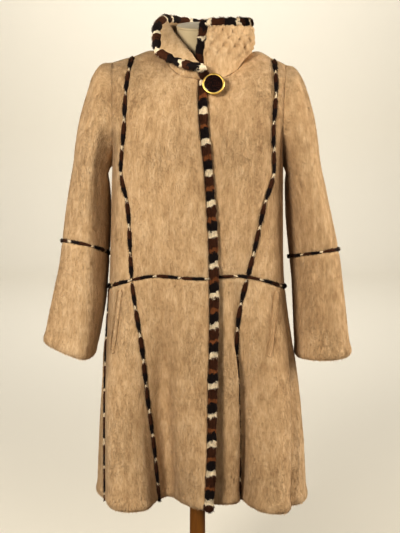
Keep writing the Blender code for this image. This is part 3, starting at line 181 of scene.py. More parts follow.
# height and x of the front edges and of the princess seams
EDGE_X = {
    Side.RIGHT: ((0.42, 0.034), (0.48, 0.038), (0.67, 0.043), (0.79, 0.046), (0.95, 0.047), (1.04, 0.045),
                 (1.17, 0.037), (1.31, 0.025), (1.45, 0.021)),
    Side.LEFT: ((0.42, -0.030), (1.20, -0.030), (1.36, -0.012), (1.45, -0.002)),
}
PRINCESS_X = {
    Side.RIGHT: ((0.42, 0.089), (0.55, 0.099), (0.69, 0.115), (0.80, 0.126), (0.88, 0.138), (0.95, 0.147),
            (1.04, 0.151), (1.13, 0.157), (1.19, 0.1623)),
    Side.LEFT: ((0.95, 0.112), (1.04, 0.133), (1.13, 0.153), (1.19, 0.1630)),
}
# Below the hip the left princess seam runs in a fold: its t at each height.
PRINCESS_FOLD_T = ((0.42, 0.325), (0.55, 0.312), (0.69, 0.300), (0.80, 0.300), (0.88, 0.345), (0.95, 0.422))
# That fold's edge hangs over the seam: how far before the seam it lies and how wide it is, in t, how far
# it stands over at each height and forward, and the heights between which it grows.
LIP_BEFORE, LIP_WIDE, LIP_FORWARD = 0.078, 0.045, 0.006
LIP_OVER = ((0.42, 0.012), (0.55, 0.018), (0.69, 0.022), (0.95, 0.022))
LIP_FROM, LIP_FULL = 0.86, 0.74
# The left side seam lies in a trough of this depth and width (in t), growing between these heights.
TROUGH_DEEP, TROUGH_WIDE = 0.009, 0.060
TROUGH_FROM, TROUGH_FULL = 1.12, 0.80
HIGH_ROWS = (HIP_SEAM, HIP_SEAM + BRAID_HALF, 1.025, 1.110, UNDERARM,
             1.204, 1.224, 1.250, 1.285, 1.325, 1.362, 1.394, 1.424, TOP)
LOW_ROWS = (*np.linspace(HEM, 0.910, 18), HIP_SEAM - BRAID_HALF, HIP_SEAM)
# each pocket's upper and lower end, as height and t
POCKET = {Side.RIGHT: ((0.935, 0.690), (0.783, 0.775)), Side.LEFT: ((0.935, 0.735), (0.775, 0.625))}


# --- curves, noise and grids
def through(knots: Sequence[float], values: Array, at: Array) -> Array:
    """A smooth curve through values at knots.

    Args:
        knots: Rising places, one for each value.
        values: Numbers or points, along their first axis.
        at: The places to read.

    Returns:
        The curve's values, with at's length first.
    """
    knots = np.asarray(knots, float)
    values = np.asarray(values, float)
    flat = values.reshape(len(knots), -1)
    step = np.diff(knots)
    rise = np.diff(flat, axis=0) / step[:, None]
    slope = np.empty_like(flat)
    slope[0], slope[-1] = rise[0], rise[-1]
    before, after = step[:-1, None], step[1:, None]
    slope[1:-1] = (rise[:-1] * after + rise[1:] * before) / (before + after)
    at = np.atleast_1d(np.asarray(at, float))
    cell = np.clip(np.searchsorted(knots, at, side="right") - 1, 0, len(step) - 1)
    wide = step[cell][:, None]
    u = np.clip((at - knots[cell])[:, None] / wide, -0.5, 1.5)
    out = (
        flat[cell] * (1 + 2 * u) * (1 - u) ** 2
        + slope[cell] * wide * u * (1 - u) ** 2
        + flat[cell + 1] * u * u * (3 - 2 * u)
        + slope[cell + 1] * wide * u * u * (u - 1)
    )
    return out.reshape((len(at),) + values.shape[1:])


def read(table: Sequence[tuple[float, float]], at: float) -> float:
    """One value of a table of places and values."""
    knots, values = zip(*table)
    return float(through(knots, values, at)[0])


def smooth(x: Array) -> Array:
    """A soft step from 0 to 1."""
    x = np.clip(x, 0.0, 1.0)
    return x * x * (3 - 2 * x)


def unit(vectors: Array) -> Array:
    """The vectors at length one."""
    return vectors / np.maximum(np.linalg.norm(vectors, axis=-1, keepdims=True), 1e-12)


def run_length(points: Array) -> Array:
    """The length along a line of points, from 0."""
    return np.concatenate([[0], np.cumsum(np.linalg.norm(np.diff(points, axis=0), axis=1))])


def squared(angle: Array, square: float) -> tuple[Array, Array]:
    """Across and forward on a rounded square at an angle; a squareness of 2 is a circle."""
    across, forward = (np.sign(wave) * np.abs(wave) ** (2 / square) for wave in (np.cos(angle), np.sin(angle)))
    return across, forward


def closed_up(grid: Array) -> Array:
    """A grid with its first column again at its end."""
    return np.concatenate([grid, grid[:, :1]], axis=1)


def lumps(points: Array, size: Point | float, seed: int) -> Array:
    """Smooth noise.

    Args:
        points: Places, in metres.
        size: How wide the lumps are, in metres, or along x, y and z.
        seed: Which field of lumps.

    Returns:
        A value between -1 and 1 at each place.
    """
    place = points / np.asarray(size)
    low = np.floor(place)
    part = place - low
    part = part * part * (3 - 2 * part)
    total = np.zeros(points.shape[:-1])
    for corner in itertools.product((0.0, 1.0), repeat=3):
        cell = low + corner
        mixed = np.sin(cell[..., 0] * 127.1 + cell[..., 1] * 311.7 + cell[..., 2] * 74.7 + seed * 53.3)
        value = np.mod(mixed * 43758.5453, 1.0) * 2 - 1
        total += value * np.prod(np.where(corner, part, 1 - part), axis=-1)
    return total


@dataclass
class Patch:
    """A grid of outer points of cloth with their outward normals; rows run up, columns run round."""

    points: Array
    normals: Array
    closed: bool = False
    marks: tuple[Array, ...] = ()  # where its rows and columns lie in the grid that it was refined from

    def part(self, rows: slice = slice(None), columns: slice = slice(None)) -> Patch:
        """The rows and columns of a piece of it."""
        return Patch(self.points[rows, columns], self.normals[rows, columns])

    def moved(self, out: Array | float) -> Array:
        """The points moved out along their normals."""
        return self.points + self.normals * np.broadcast_to(out, self.points.shape[:2])[..., None]

    def beside(self, right: Patch) -> Patch:
        """This patch and one that begins with its last column."""
        return Patch(
            np.concatenate([self.points, right.points[:, 1:]], axis=1),
            np.concatenate([self.normals, right.normals[:, 1:]], axis=1),
        )

    def above(self, high: Patch) -> Patch:
        """This patch and one that begins with its last row."""
        return Patch(
            np.concatenate([self.points, high.points[1:]]), np.concatenate([self.normals, high.normals[1:]])
        )

    def turned(self) -> Patch:
        """The columns the other way round."""
        return Patch(self.points[:, ::-1], self.normals[:, ::-1])

    def knots(self, axis: int) -> Array:
        """Places of the rows or of the columns by their mean distance."""
        step = np.linalg.norm(np.diff(self.points, axis=axis), axis=2)
        return np.concatenate([[0], np.cumsum(np.maximum(step.mean(axis=1 - axis), 1e-5))])

    def refined(self, spacing: float) -> Patch:
        """The same sheet with rows and columns at most about a spacing apart."""
        grids, marks = [self.points, self.normals], []
        for axis in (0, 1):
            if axis == 1 and self.closed:
                grids = [np.concatenate([g[:, -3:], g, g[:, :4]], axis=1) for g in grids]
            knots = Patch(grids[0], grids[1]).knots(axis)
            first, last = (3, -4) if axis == 1 and self.closed else (0, -1)
            inside = knots[first:] if last == -1 else knots[first : last + 1]
            at = [
                np.linspace(low, high, max(1, math.ceil((high - low) / spacing)) + 1)[:-1]
                for low, high in zip(inside, inside[1:])
            ]
            at = np.concatenate(at if axis == 1 and self.closed else [*at, [inside[-1]]])
            grids = [np.moveaxis(through(knots, np.moveaxis(g, axis, 0), at), 0, axis) for g in grids]
            marks.append(np.interp(at, inside, np.arange(len(inside))))
        return Patch(grids[0], unit(grids[1]), self.closed, tuple(marks))

    def edge_lengths(self) -> dict[str, Array]:
        """How far each point is from the patch's start, end, bottom and top, along the cloth."""
        across = np.cumsum(np.linalg.norm(np.diff(self.points, axis=1), axis=2), axis=1)
        across = np.concatenate([np.zeros((len(across), 1)), across], axis=1)
        up = np.cumsum(np.linalg.norm(np.diff(self.points, axis=0), axis=2), axis=0)
        up = np.concatenate([np.zeros((1, up.shape[1])), up])
        return {"start": across, "end": across[:, -1:] - across, "bottom": up, "top": up[-1:] - up}

    def flat(self) -> tuple[float, float, float]:
        """Width, length and area of the cloth laid flat."""
        points = closed_up(self.points) if self.closed else self.points
        across = points[:-1, 1:] - points[:-1, :-1]
        up = points[1:, :-1] - points[:-1, :-1]
        area = float(np.linalg.norm(np.cross(across, up), axis=2).sum())
        width = float(np.linalg.norm(np.diff(points, axis=1), axis=2).sum(axis=1).max())
        length = float(np.linalg.norm(np.diff(points, axis=0), axis=2).sum(axis=0).max())
        return width, length, area


# --- the coat's surface
@dataclass(frozen=True)
class Steps:
    """How many columns the panels have between their seams."""

    neck: int = 4
    shoulder: int = 3
    side: int = 5
    back: int = 5

    @property
    def princess(self) -> int:
        """The front's column that lies on the princess seam."""
        return self.neck + self.shoulder + 2


@dataclass(frozen=True)
class CoatShape:
    """The coat's outer surface and the places of its seams on it."""

    def level_points(self, side: Side, height: float, t: Array) -> tuple[Array, Array]:
        """x and y on the plain section at a height; below 0, t passes the centre front."""
        half_right, half_left, front, back, square = through(
            [row[0] for row in SECTIONS], [row[1:] for row in SECTIONS], height
        )[0]
        half = half_right if side == Side.RIGHT else half_left
        angle = np.radians(np.linspace(0, 180, 361))
        forward, across = squared(angle, square)
        x, y = half * across, -np.where(angle < math.pi / 2, front, back) * forward
        length = run_length(np.column_stack([x, y]))
        middle = length[180]
        curve_t = np.where(length <= middle, length / middle, 1 + (length - middle) / (length[-1] - middle))
        found_x = np.interp(np.abs(t), curve_t, side * x) * np.where(t < 0, -1, 1)
        return found_x, np.interp(np.abs(t), curve_t, y)

    def plan_points(self, side: Side, t: Array) -> Array:
        """x and y on the hem's plan at t."""
        names = [row[0] for row in HEM_PLAN[side]]
        points = np.array([row[1:] for row in HEM_PLAN[side]])
        length = run_length(points)
        centre, seam = length[names.index("centre")], length[names.index("side seam")]
        front, back = (length - centre) / (seam - centre), 1 + (length - seam) / (length[-1] - seam)
        inside = np.clip(t, 0, 1)
        warped = t + FOLD_WARP[side] * 4 * inside * (1 - inside)
        return through(np.where(length <= seam, front, back), points, warped).T

    def lap(self, side: Side, height: float, x: Array) -> Array:
        """How far the lapping front stands off at x."""
        if side == Side.LEFT:
            return np.zeros_like(x)
        return np.interp(height, *zip(*LAP_LIFT)) * smooth((LAP_REACH + LAP_FADE + x) / LAP_FADE)

    def folded(self, height: float, t: Array, x: Array, y: Array) -> tuple[Array, Array]:
        """The left front's sharp folds: the lip over the princess seam and the trough of the side seam."""
        lip = (t - read(PRINCESS_FOLD_T, min(height, HIP_SEAM)) + LIP_BEFORE) / LIP_WIDE
        lip = np.exp(-lip * lip) * smooth((LIP_FROM - height) / (LIP_FROM - LIP_FULL))
        trough = np.exp(-(((t - 1) / TROUGH_WIDE) ** 2))
        trough = trough * smooth((TROUGH_FROM - height) / (TROUGH_FROM - TROUGH_FULL))
        return x + read(LIP_OVER, height) * lip - TROUGH_DEEP * trough, y - LIP_FORWARD * lip

    def low_net(self, side: Side, height: float, t: Array) -> Array:
        """Points below the arms."""
        x, y = self.level_points(side, height, t)
        share = max(0.0, (FOLD_TOP - height) / (FOLD_TOP - HEM)) ** FOLD_POWER[side]
        if share > 0:
            plan_x, plan_y = self.plan_points(side, t)
            hem_x, hem_y = self.level_points(side, HEM, t)
            x, y = x + share * (plan_x - hem_x), y + share * (plan_y - hem_y)
        if side == Side.LEFT:
            x, y = self.folded(height, t, x, y)
        y = y - self.lap(side, height, x) * (t < 1)
        reach = HIP_DROP_BELOW if height < HIP_SEAM else HIP_DROP_ABOVE
        dropped = through(*zip(*HIP_DROP), t) * smooth(1 - abs(height - HIP_SEAM) / reach)
        return np.stack([x, y, height - dropped], axis=1)

    def high_net(self, side: Side, height: float, t: Array) -> Array:
        """Points above the arms, all in front or all behind."""
        rows = FRONT_NET if np.all(t <= 1) else BACK_NET
        own_t = t if rows is FRONT_NET else 2 - t
        knots, points = [], []
        for low in (UNDERARM - 0.14, UNDERARM - 0.07, UNDERARM):
            below = self.low_net(side, low, t)
            below[:, 1] += self.lap(side, low, below[:, 0]) * (t < 1)
            knots.append(low)
            points.append(below)
        for row_height, row in rows:
            shift = read(NECK_SHIFT, row_height) * through(NET_T, SHIFT_SHARE, np.abs(own_t))
            place = through(NET_T, row, np.abs(own_t))
            place[:, 0] = side * place[:, 0] * np.where(own_t < 0, -1, 1) + shift
            if side == Side.LEFT:
                down = smooth((row_height - LEFT_DROP_FROM) / (TOP - LEFT_DROP_FROM))
                place[:, 2] -= down * through(NET_T, LEFT_DROP, np.abs(own_t))
            knots.append(row_height)
            points.append(place)
        found = through(knots, np.array(points), height)[0]
        found[:, 1] -= self.lap(side, height, found[:, 0] - LAP_TURN) * (t < 1)
        return found

    def net(self, side: Side, height: float, t: Array) -> Array:
        """Points of the outer surface at one height."""
        t = np.atleast_1d(np.asarray(t, float))
        if height <= UNDERARM:
            return self.low_net(side, height, t)
        found = np.empty((len(t), 3))
        for half in (t <= 1, t > 1):
            if half.any():
                found[half] = self.high_net(side, height, t[half])
        return found

    def normals(self, side: Side, height: float, t: Array) -> Array:
        """Outward normals from small steps along the surface."""
        step_t, step_h = 0.004, 0.003
        t = np.asarray(t, float)
        high = height > UNDERARM
        limit = np.where(t <= 1, 1.0, 2.0) if high else np.full_like(t, 2.0)
        floor = np.where(t <= 1, -1.0, 1.0001) if high else np.full_like(t, -1.0)
        along = self.net(side, height, np.minimum(t + step_t, limit))
        along = along - self.net(side, height, np.maximum(t - step_t, floor))
        up = self.net(side, min(height + step_h, TOP), t) - self.net(side, max(height - step_h, HEM), t)
        return unit(np.cross(along, up)) * side

    def t_at_x(self, side: Side, height: float, x: float) -> float:
        """The t at which the surface near the front has this x."""
        t = np.linspace(-0.4, 0.9, 521)
        along = side * self.net(side, height, t)[:, 0]
        return float(np.interp(side * x, np.maximum.accumulate(along), t))

    def princess_t(self, side: Side, height: float) -> float:
        """Where the princess seam is."""
        if height >= UNDERARM:
            return PRINCESS_T
        if side == Side.LEFT and height < HIP_SEAM:
            return read(PRINCESS_FOLD_T, height)
        return self.t_at_x(side, height, side * read(PRINCESS_X[side], height))

    def edge_t(self, side: Side, height: float) -> float:
        """Where the front edge is."""
        return self.t_at_x(side, height, read(EDGE_X[side], height))

    def spaced(self, side: Side, height: float, ends: tuple[float, float], inner: int,
               near: tuple[float, float]) -> Array:
        """t at even lengths along the surface.

        Args:
            side: Which half of the coat.
            height: The level.
            ends: The first and last t.
            inner: How many steps to make between the braids.
            near: How far in from each end to add a column, or 0 for none.

        Returns:
            The places of the columns.
        """
        t = np.linspace(*ends, 81)
        length = run_length(self.net(side, height, t))
        marks = np.linspace(near[0], length[-1] - near[1], inner + 1)
        marks = np.concatenate([[0] * bool(near[0]), marks, [length[-1]] * bool(near[1])])
        return np.interp(marks, length, t)

    def centre_columns(self, side: Side, height: float, steps: Steps) -> Array:
        """From the front edge to the princess seam."""
        start, end = self.edge_t(side, height), self.princess_t(side, height)
        top_start = self.edge_t(side, TOP)
        neck = start + (NECK_T - top_start) / (PRINCESS_T - top_start) * (end - start)
        to_neck = self.spaced(side, height, (start, neck), steps.neck, (FRONT_BRAID, 0))
        shoulder = self.spaced(side, height, (neck, end), steps.shoulder, (0, BRAID_HALF))
        return np.concatenate([to_neck, shoulder[1:]])

    def side_columns(self, side: Side, height: float, steps: Steps) -> Array:
        """From the princess seam to the side seam or armhole."""
        ends = (self.princess_t(side, height), 1.0)
        return self.spaced(side, height, ends, steps.side, (BRAID_HALF, BRAID_HALF))

    def front_columns(self, side: Side, height: float, steps: Steps) -> Array:
        """A whole front's columns."""
        centre = self.centre_columns(side, height, steps)
        return np.concatenate([centre, self.side_columns(side, height, steps)[1:]])

    def front_braid_columns(self, side: Side, height: float, steps: Steps) -> Array:
        """The lapping edge, and the middle and the inner edge of its braid."""
        start, end = self.edge_t(side, height), self.centre_columns(side, height, steps)[1]
        return np.array([start, (start + end) / 2, end])

    def back_columns(self, side: Side, height: float, steps: Steps) -> Array:
        """From the side seam or armhole to the centre back."""
        first = 1.0 if height <= UNDERARM else 1.0001
        side_part = self.spaced(side, height, (first, 2 - PRINCESS_T), steps.side, (BRAID_HALF, BRAID_HALF))
        shoulder = self.spaced(side, height, (2 - PRINCESS_T, 2 - NECK_T), steps.shoulder, (BRAID_HALF, 0))
        if height == TOP:
            inner = self.centre_columns(side, TOP, steps)[::-1][1 : steps.shoulder + 2]
            turned = 2 - np.concatenate([self.side_columns(side, TOP, steps)[::-1], inner])
            side_part, shoulder = turned[: len(side_part)], turned[len(side_part) - 1 :]
        centre = self.spaced(side, height, (2 - NECK_T, 2.0), steps.back, (0, 0))
        return np.concatenate([side_part, shoulder[1:], centre[1:]])

    def patch(self, side: Side, rows: Iterable[float], columns: Callable[..., Array], steps: Steps) -> Patch:
        """A grid of the surface.

        Args:
            side: Which half of the coat.
            rows: The heights.
            columns: Gives the columns' t at a height.
            steps: How many columns.

        Returns:
            The grid with its normals.
        """
        points, normals = [], []
        for height in rows:
            t = columns(side, height, steps)
            points.append(self.net(side, height, t))
            normals.append(self.normals(side, height, t))
        return Patch(np.array(points), np.array(normals))


# from the armhole to the cuff: inner x and z, outer x and z, middle y, half depth, lean of the crease,
# and how far back the inner edge is set
SLEEVES = {
    Side.RIGHT: (
        (0.1985, 1.183, 0.2180, 1.4150, 0.002, 0.087, 0.000, 0.000),
        (0.2030, 1.176, 0.2360, 1.3960, 0.002, 0.087, 0.000, 0.003),
        (0.2055, 1.166, 0.2495, 1.3600, 0.000, 0.086, 0.002, 0.010),
        (0.2035, 1.150, 0.2630, 1.3160, -0.002, 0.085, 0.002, 0.021),
        (0.2020, 1.125, 0.2755, 1.2620, -0.004, 0.083, 0.003, 0.032),
        (0.2015, 1.088, 0.2850, 1.1950, -0.006, 0.081, 0.005, 0.040),
        (0.2030, 1.038, 0.2985, 1.1120, -0.008, 0.079, 0.010, 0.044),
        (0.2070, 0.982, 0.3120, 1.0180, -0.010, 0.077, 0.017, 0.045),
        (0.2110, 0.928, 0.3225, 0.9500, -0.012, 0.076, 0.021, 0.042),
        (0.2175, 0.865, 0.3370, 0.8800, -0.014, 0.075, 0.028, 0.037),
        (0.2310, 0.800, 0.3500, 0.8220, -0.016, 0.074, 0.033, 0.030),
        (0.2470, 0.748, 0.3580, 0.7760, -0.018, 0.073, 0.036, 0.024),
    ),
    Side.LEFT: (
        (0.1985, 1.183, 0.2200, 1.4080, 0.002, 0.087, 0.000, 0.000),
        (0.2030, 1.176, 0.2380, 1.3880, 0.002, 0.087, 0.000, 0.003),
        (0.2055, 1.166, 0.2505, 1.3540, 0.000, 0.086, -0.003, 0.011),
        (0.2045, 1.150, 0.2625, 1.3120, -0.002, 0.085, -0.007, 0.021),
        (0.2045, 1.125, 0.2720, 1.2620, -0.004, 0.083, -0.010, 0.031),
        (0.2065, 1.088, 0.2805, 1.1950, -0.006, 0.081, -0.013, 0.038),
        (0.2115, 1.038, 0.2960, 1.1120, -0.008, 0.079, -0.018, 0.036),
        (0.2190, 0.978, 0.3190, 0.9980, -0.010, 0.077, -0.021, 0.028),
        (0.2245, 0.920, 0.3280, 0.9350, -0.013, 0.076, -0.022, 0.018),
        (0.2270, 0.860, 0.3370, 0.8700, -0.017, 0.075, -0.023, 0.012),
        (0.2300, 0.800, 0.3455, 0.8100, -0.021, 0.074, -0.023, 0.006),
        (0.2330, 0.744, 0.3530, 0.7600, -0.024, 0.073, -0.023, 0.002),
    ),
}


@dataclass(frozen=True)
class SleeveShape:
    """Both sleeves, as rings from the armhole to the cuff."""

    square: tuple[float, float] = (1.5, 1.85)  # right and left
    elbow: int = 8
    elbow_lift: tuple[float, float] = (0.022, 0.011)  # how far the seam rises to its front, right and left
    elbow_reach: float = 3.5
    cuff: int = 12
    elbow_braid: float = 0.068  # in rings, each side of the elbow's ring
    ease: int = 5  # rings over which the armhole's spacing evens out
    hole_share: float = 0.6  # how much of the armhole's shape the first ring keeps

    @property
    def rings(self) -> tuple[float, ...]:
        """The rings' places."""
        elbow = (self.elbow - self.elbow_braid, self.elbow, self.elbow + self.elbow_braid)
        return (*range(1, self.elbow), *elbow, *range(self.elbow + 1, self.cuff + 1))

    def ring(self, side: Side, place: float, turn: Array) -> Array:
        """Points of one ring; turn runs 0 to 1 from the inner edge by the front."""
        row = through(range(1, self.cuff + 1), SLEEVES[side], place)[0]
        inner, outer, (middle_y, half_depth, lean, set_back) = row[0:2], row[2:4], row[4:]
        angle = 2 * math.pi * np.asarray(turn)
        across, forward = squared(angle, self.square[side > 0])
        half = (inner - outer) / 2
        spot = (inner + outer) / 2 + half * (across + forward * lean / np.linalg.norm(half))[:, None]
        y = middle_y - half_depth * forward + set_back * ((1 + across) / 2) ** 2
        lift = self.elbow_lift[side > 0] * smooth(1 - abs(place - self.elbow) / self.elbow_reach)
        return np.stack([side * spot[:, 0], y, spot[:, 1] + lift * forward], axis=1)

    def tube(self, side: Side, hole: Patch, own_start: bool = False) -> Patch:
        """The sleeve from the armhole's points to the cuff."""
        low, high, middle_y, half_depth = np.array(SLEEVES[side][0])[[1, 3, 4, 5]]
        down = ((low + high) / 2 - hole.points[0, :, 2]) / ((high - low) / 2)
        start = np.arctan2((middle_y - hole.points[0, :, 1]) / half_depth, down) / (2 * math.pi) % 1
        start[0] = 0.0
        even = np.arange(len(start)) / len(start)
        rest = hole.points[0] - self.ring(side, 1, start)
        rest[:, 0] = 0
        rows = [hole.points[0]]
        for place in self.rings:
            turns = start + (even - start) * smooth((place - 1) / self.ease)
            kept = self.hole_share * (1 - smooth((place - 0.5) / 2))
            rows.append(self.ring(side, place, turns) + rest * kept)
        points = np.array(rows)
        wrapped = np.concatenate([points[:, -1:], points, points[:, :1]], axis=1)
        along = wrapped[:, 2:] - wrapped[:, :-2]
        steps = [points[1:2] - points[:1], points[2:] - points[:-2], points[-1:] - points[-2:-1]]
        normals = unit(np.cross(along, np.concatenate(steps))) * -side
        if not own_start:
            normals[0] = hole.normals[0]
            points[0, :, 0] += side * SEAM_GAP
        return Patch(points, normals, closed=True)


# along the neckline from the lapping edge: crest x, y, z where the collar folds or is half way up,
# its edge x, y, z, and how far it sags between
COLLAR = (
    (0.000, 0.014, -0.134, 1.406, -0.088, -0.081, 1.441, 0.008),
    (0.020, 0.008, -0.130, 1.414, -0.091, -0.075, 1.452, 0.007),
    (0.065, 0.001, -0.124, 1.422, -0.093, -0.068, 1.463, 0.006),
    (0.120, -0.009, -0.112, 1.434, -0.094, -0.056, 1.478, 0.003),
    (0.190, -0.024, -0.091, 1.450, -0.094, -0.036, 1.497, 0.000),
    (0.280, -0.050, -0.050, 1.478, -0.086, -0.008, 1.514, 0.000),
    (0.360, -0.067, 0.026, 1.500, -0.074, 0.030, 1.526, 0.000),
    (0.430, -0.042, 0.067, 1.499, -0.047, 0.072, 1.525, 0.000),
    (0.500, 0.006, 0.092, 1.494, 0.000, 0.096, 1.519, 0.000),
    (0.570, 0.062, 0.082, 1.490, 0.058, 0.084, 1.517, 0.000),
    (0.650, 0.106, 0.048, 1.486, 0.102, 0.047, 1.518, 0.000),
    (0.720, 0.124, 0.000, 1.482, 0.120, -0.002, 1.518, 0.000),
    (0.800, 0.113, -0.047, 1.470, 0.104, -0.045, 1.518, 0.000),
    (0.880, 0.076, -0.080, 1.457, 0.067, -0.071, 1.518, 0.000),
    (0.950, 0.033, -0.096, 1.450, 0.034, -0.086, 1.516, 0.000),
    (1.000, -0.002, -0.097, 1.448, 0.013, -0.090, 1.512, 0.000),
)


@dataclass(frozen=True)
class CollarShape:
    """The stand collar: its rows rise from the neckline over the fold to the braided edge."""

    split: int = 3  # columns for each column of the neckline
    braid: float = 0.013
    fold_round: float = 0.019
    roll_end: float = 0.27
    tuck_zone: float = 0.064
    tuck_from: float = 0.32
    seam_gap: float = 0.0005

    def grid(self, neckline: Patch) -> Patch:
        """Collar and binding together, as the solids have them."""
        share = np.arange(self.split) / self.split
        base, normals = (
            np.concatenate([
                (line[0, :-1, None] + (line[0, 1:] - line[0, :-1])[:, None] * share[:, None]).reshape(-1, 3),
                line[0, -1:],
            ])
            for line in (neckline.points, neckline.normals)
        )
        length = run_length(base)
        gaps = np.array([self.braid / 2, self.braid, self.braid + SEAM_GAP])
        margin = self.braid + 0.003
        keep = (length == 0) | (length == length[-1]) | ((length > margin) & (length < length[-1] - margin))
        marks = np.sort(np.concatenate([length[keep], gaps, length[-1] - gaps]))
        foot = np.stack([np.interp(marks, length, base[:, k]) for k in range(3)], axis=1)
        foot_normal = np.stack([np.interp(marks, length, normals[:, k]) for k in range(3)], axis=1)
        along = marks / length[-1]
        table = through([row[0] for row in COLLAR], [row[1:] for row in COLLAR], along)
        crest, edge = table[:, :3], table[:, 3:6]
        middle = (crest + edge) / 2 - table[:, 6:] * np.array([0, 0, 1])
        stand, flap = np.linalg.norm(crest - foot, axis=1), np.linalg.norm(edge - crest, axis=1)
        lengths = self.row_lengths(along, stand, flap)
        outer = np.empty((len(lengths), len(marks), 3))
        for column, corners in enumerate(zip(foot, crest, middle, edge)):
            outer[:, column] = self.rounded(np.array(corners), [row[column] for row in lengths])
        normals = unit(np.cross(np.gradient(outer, axis=0), np.gradient(outer, axis=1)))
        normals[0] = foot_normal
        normals[1] = unit(normals[1] + foot_normal)
        across = unit(np.cross(np.gradient(outer[0], axis=0), foot_normal))
        return Patch(outer + self.seam_gap * across, normals)

    def row_lengths(self, along: Array, stand: Array, flap: Array) -> list[Array]:
        """How far up the collar each row lies, at each column."""
        tall = stand + flap
        top = tall - self.braid - SEAM_GAP
        zone = np.minimum(self.tuck_zone, 0.8 * top)
        past = stand + self.fold_round
        standing = [0 * tall, (top - zone) / 2, *(top - zone * (1 - step / 4) for step in range(5))]
        rolled = [0 * tall, stand / 2, stand, past, past + (top - past) / 3, past + (top - past) * 2 / 3, top]
        share = smooth((along - self.roll_end) / 0.1)
        rows = [up * share + out * (1 - share) for up, out in zip(standing, rolled)]
        return [*rows, tall - self.braid, tall - self.braid / 2, tall]

    def rounded(self, corners: Array, lengths: Sequence[float]) -> Array:
        """Points along the line through the corners, with its bends rounded off."""
        reach = 0.1
        first = corners[0] + unit(corners[0] - corners[1]) * reach
        last = corners[-1] + unit(corners[-1] - corners[-2]) * reach
        line = np.array([first, *corners, last])
        places = (run_length(line) - reach) * (lengths[-1] / (run_length(line)[-2] - reach))
        around = np.array(lengths)[:, None] + np.linspace(-self.fold_round, self.fold_round, 9)
        return np.stack([np.interp(around, places, line[:, k]).mean(axis=1) for k in range(3)], axis=1)


@dataclass
class CoatCloth:
    """All of the coat's cloth as grids, with the normals shared across its seams."""

    shape: CoatShape = CoatShape()
    sleeve: SleeveShape = SleeveShape()
    collar: CollarShape = CollarShape()
    coarse: Steps = Steps()
    fine: Steps = Steps(neck=8, shoulder=5, side=10, back=10)
    evening: int = 3
    fronts: dict[Side, Patch] = field(default_factory=dict)
    backs: dict[Side, Patch] = field(default_factory=dict)
    low_fronts: dict[Side, Patch] = field(default_factory=dict)
    low_backs: dict[Side, Patch] = field(default_factory=dict)
    sleeves: dict[Side, Patch] = field(default_factory=dict)

    def lay_out(self) -> None:
        """Works out every grid."""
        for side in Side:
            self.low_fronts[side] = self.shape.patch(side, LOW_ROWS, self.shape.front_columns, self.fine)
            self.low_backs[side] = self.shape.patch(side, LOW_ROWS, self.shape.back_columns, self.fine)
            front = self.shape.patch(side, HIGH_ROWS, self.shape.front_columns, self.coarse)
            back = self.shape.patch(side, HIGH_ROWS, self.shape.back_columns, self.coarse)
            self.join_shoulder(front, back)
            self.join_armhole(side, front, back)
            self.even_neck(front, back)
            self.fronts[side], self.backs[side] = front, back
            self.sleeves[side] = self.sleeve.tube(side, self.armhole(front, back))

    def armhole(self, front: Patch, back: Patch) -> Patch:
        """The armhole's edge from the underarm up the front and down the back."""
        first = HIGH_ROWS.index(UNDERARM)
        points = np.concatenate([front.points[first:, -1], back.points[-2:first:-1, 0]])
        normals = np.concatenate([front.normals[first:, -1], back.normals[-2:first:-1, 0]])
        return Patch(points[None], normals[None])

    def join_shoulder(self, front: Patch, back: Patch) -> None:
        """Gives both sides of the shoulder seam the same points and normals."""
        count = self.coarse.side + self.coarse.shoulder + 4
        back.points[-1, :count] = front.points[-1, -count:][::-1]
        mean = unit(front.normals[-1, -count:] + back.normals[-1, :count][::-1])
        front.normals[-1, -count:] = mean
        back.normals[-1, :count] = mean[::-1]

    def join_armhole(self, side: Side, front: Patch, back: Patch) -> None:
        """Turns the body's walls halfway to the sleeve's at the armhole."""
        first = HIGH_ROWS.index(UNDERARM)
        hole = self.armhole(front, back)
        mean = unit(hole.normals[0] + self.sleeve.tube(side, hole, own_start=True).normals[0])
        count = front.points.shape[0] - first
        front.normals[first:, -1] = mean[:count]
        back.normals[first:, 0] = np.concatenate([mean[:1], mean[count:][::-1], mean[count - 1 : count]])

    def even_neck(self, front: Patch, back: Patch) -> None:
        """Evens out the normals along the neckline."""
        neck, centre = self.coarse.neck + 1, self.coarse.back + 1
        line = np.concatenate([front.normals[-1, : neck + 1], back.normals[-1, -centre + 1 :]])
        for _ in range(self.evening):
            line[1:-1] = unit(line[:-2] + 2 * line[1:-1] + line[2:])
        front.normals[-1, : neck + 1] = line[: neck + 1]
        back.normals[-1, -centre:] = line[neck:]

    def neckline(self) -> Patch:
        """The top edge all round, from the lapping front to the other."""
        front, back = slice(0, self.coarse.neck + 2), slice(-self.coarse.back - 1, None)
        top = slice(-1, None)
        right = self.fronts[Side.RIGHT].part(top, front).beside(self.backs[Side.RIGHT].part(top, back))
        left = self.fronts[Side.LEFT].part(top, front).beside(self.backs[Side.LEFT].part(top, back))
        return right.beside(left.turned())

    def whole_back(self, halves: dict[Side, Patch]) -> Patch:
        """The back from the right side to the left."""
        return halves[Side.RIGHT].beside(halves[Side.LEFT].turned())


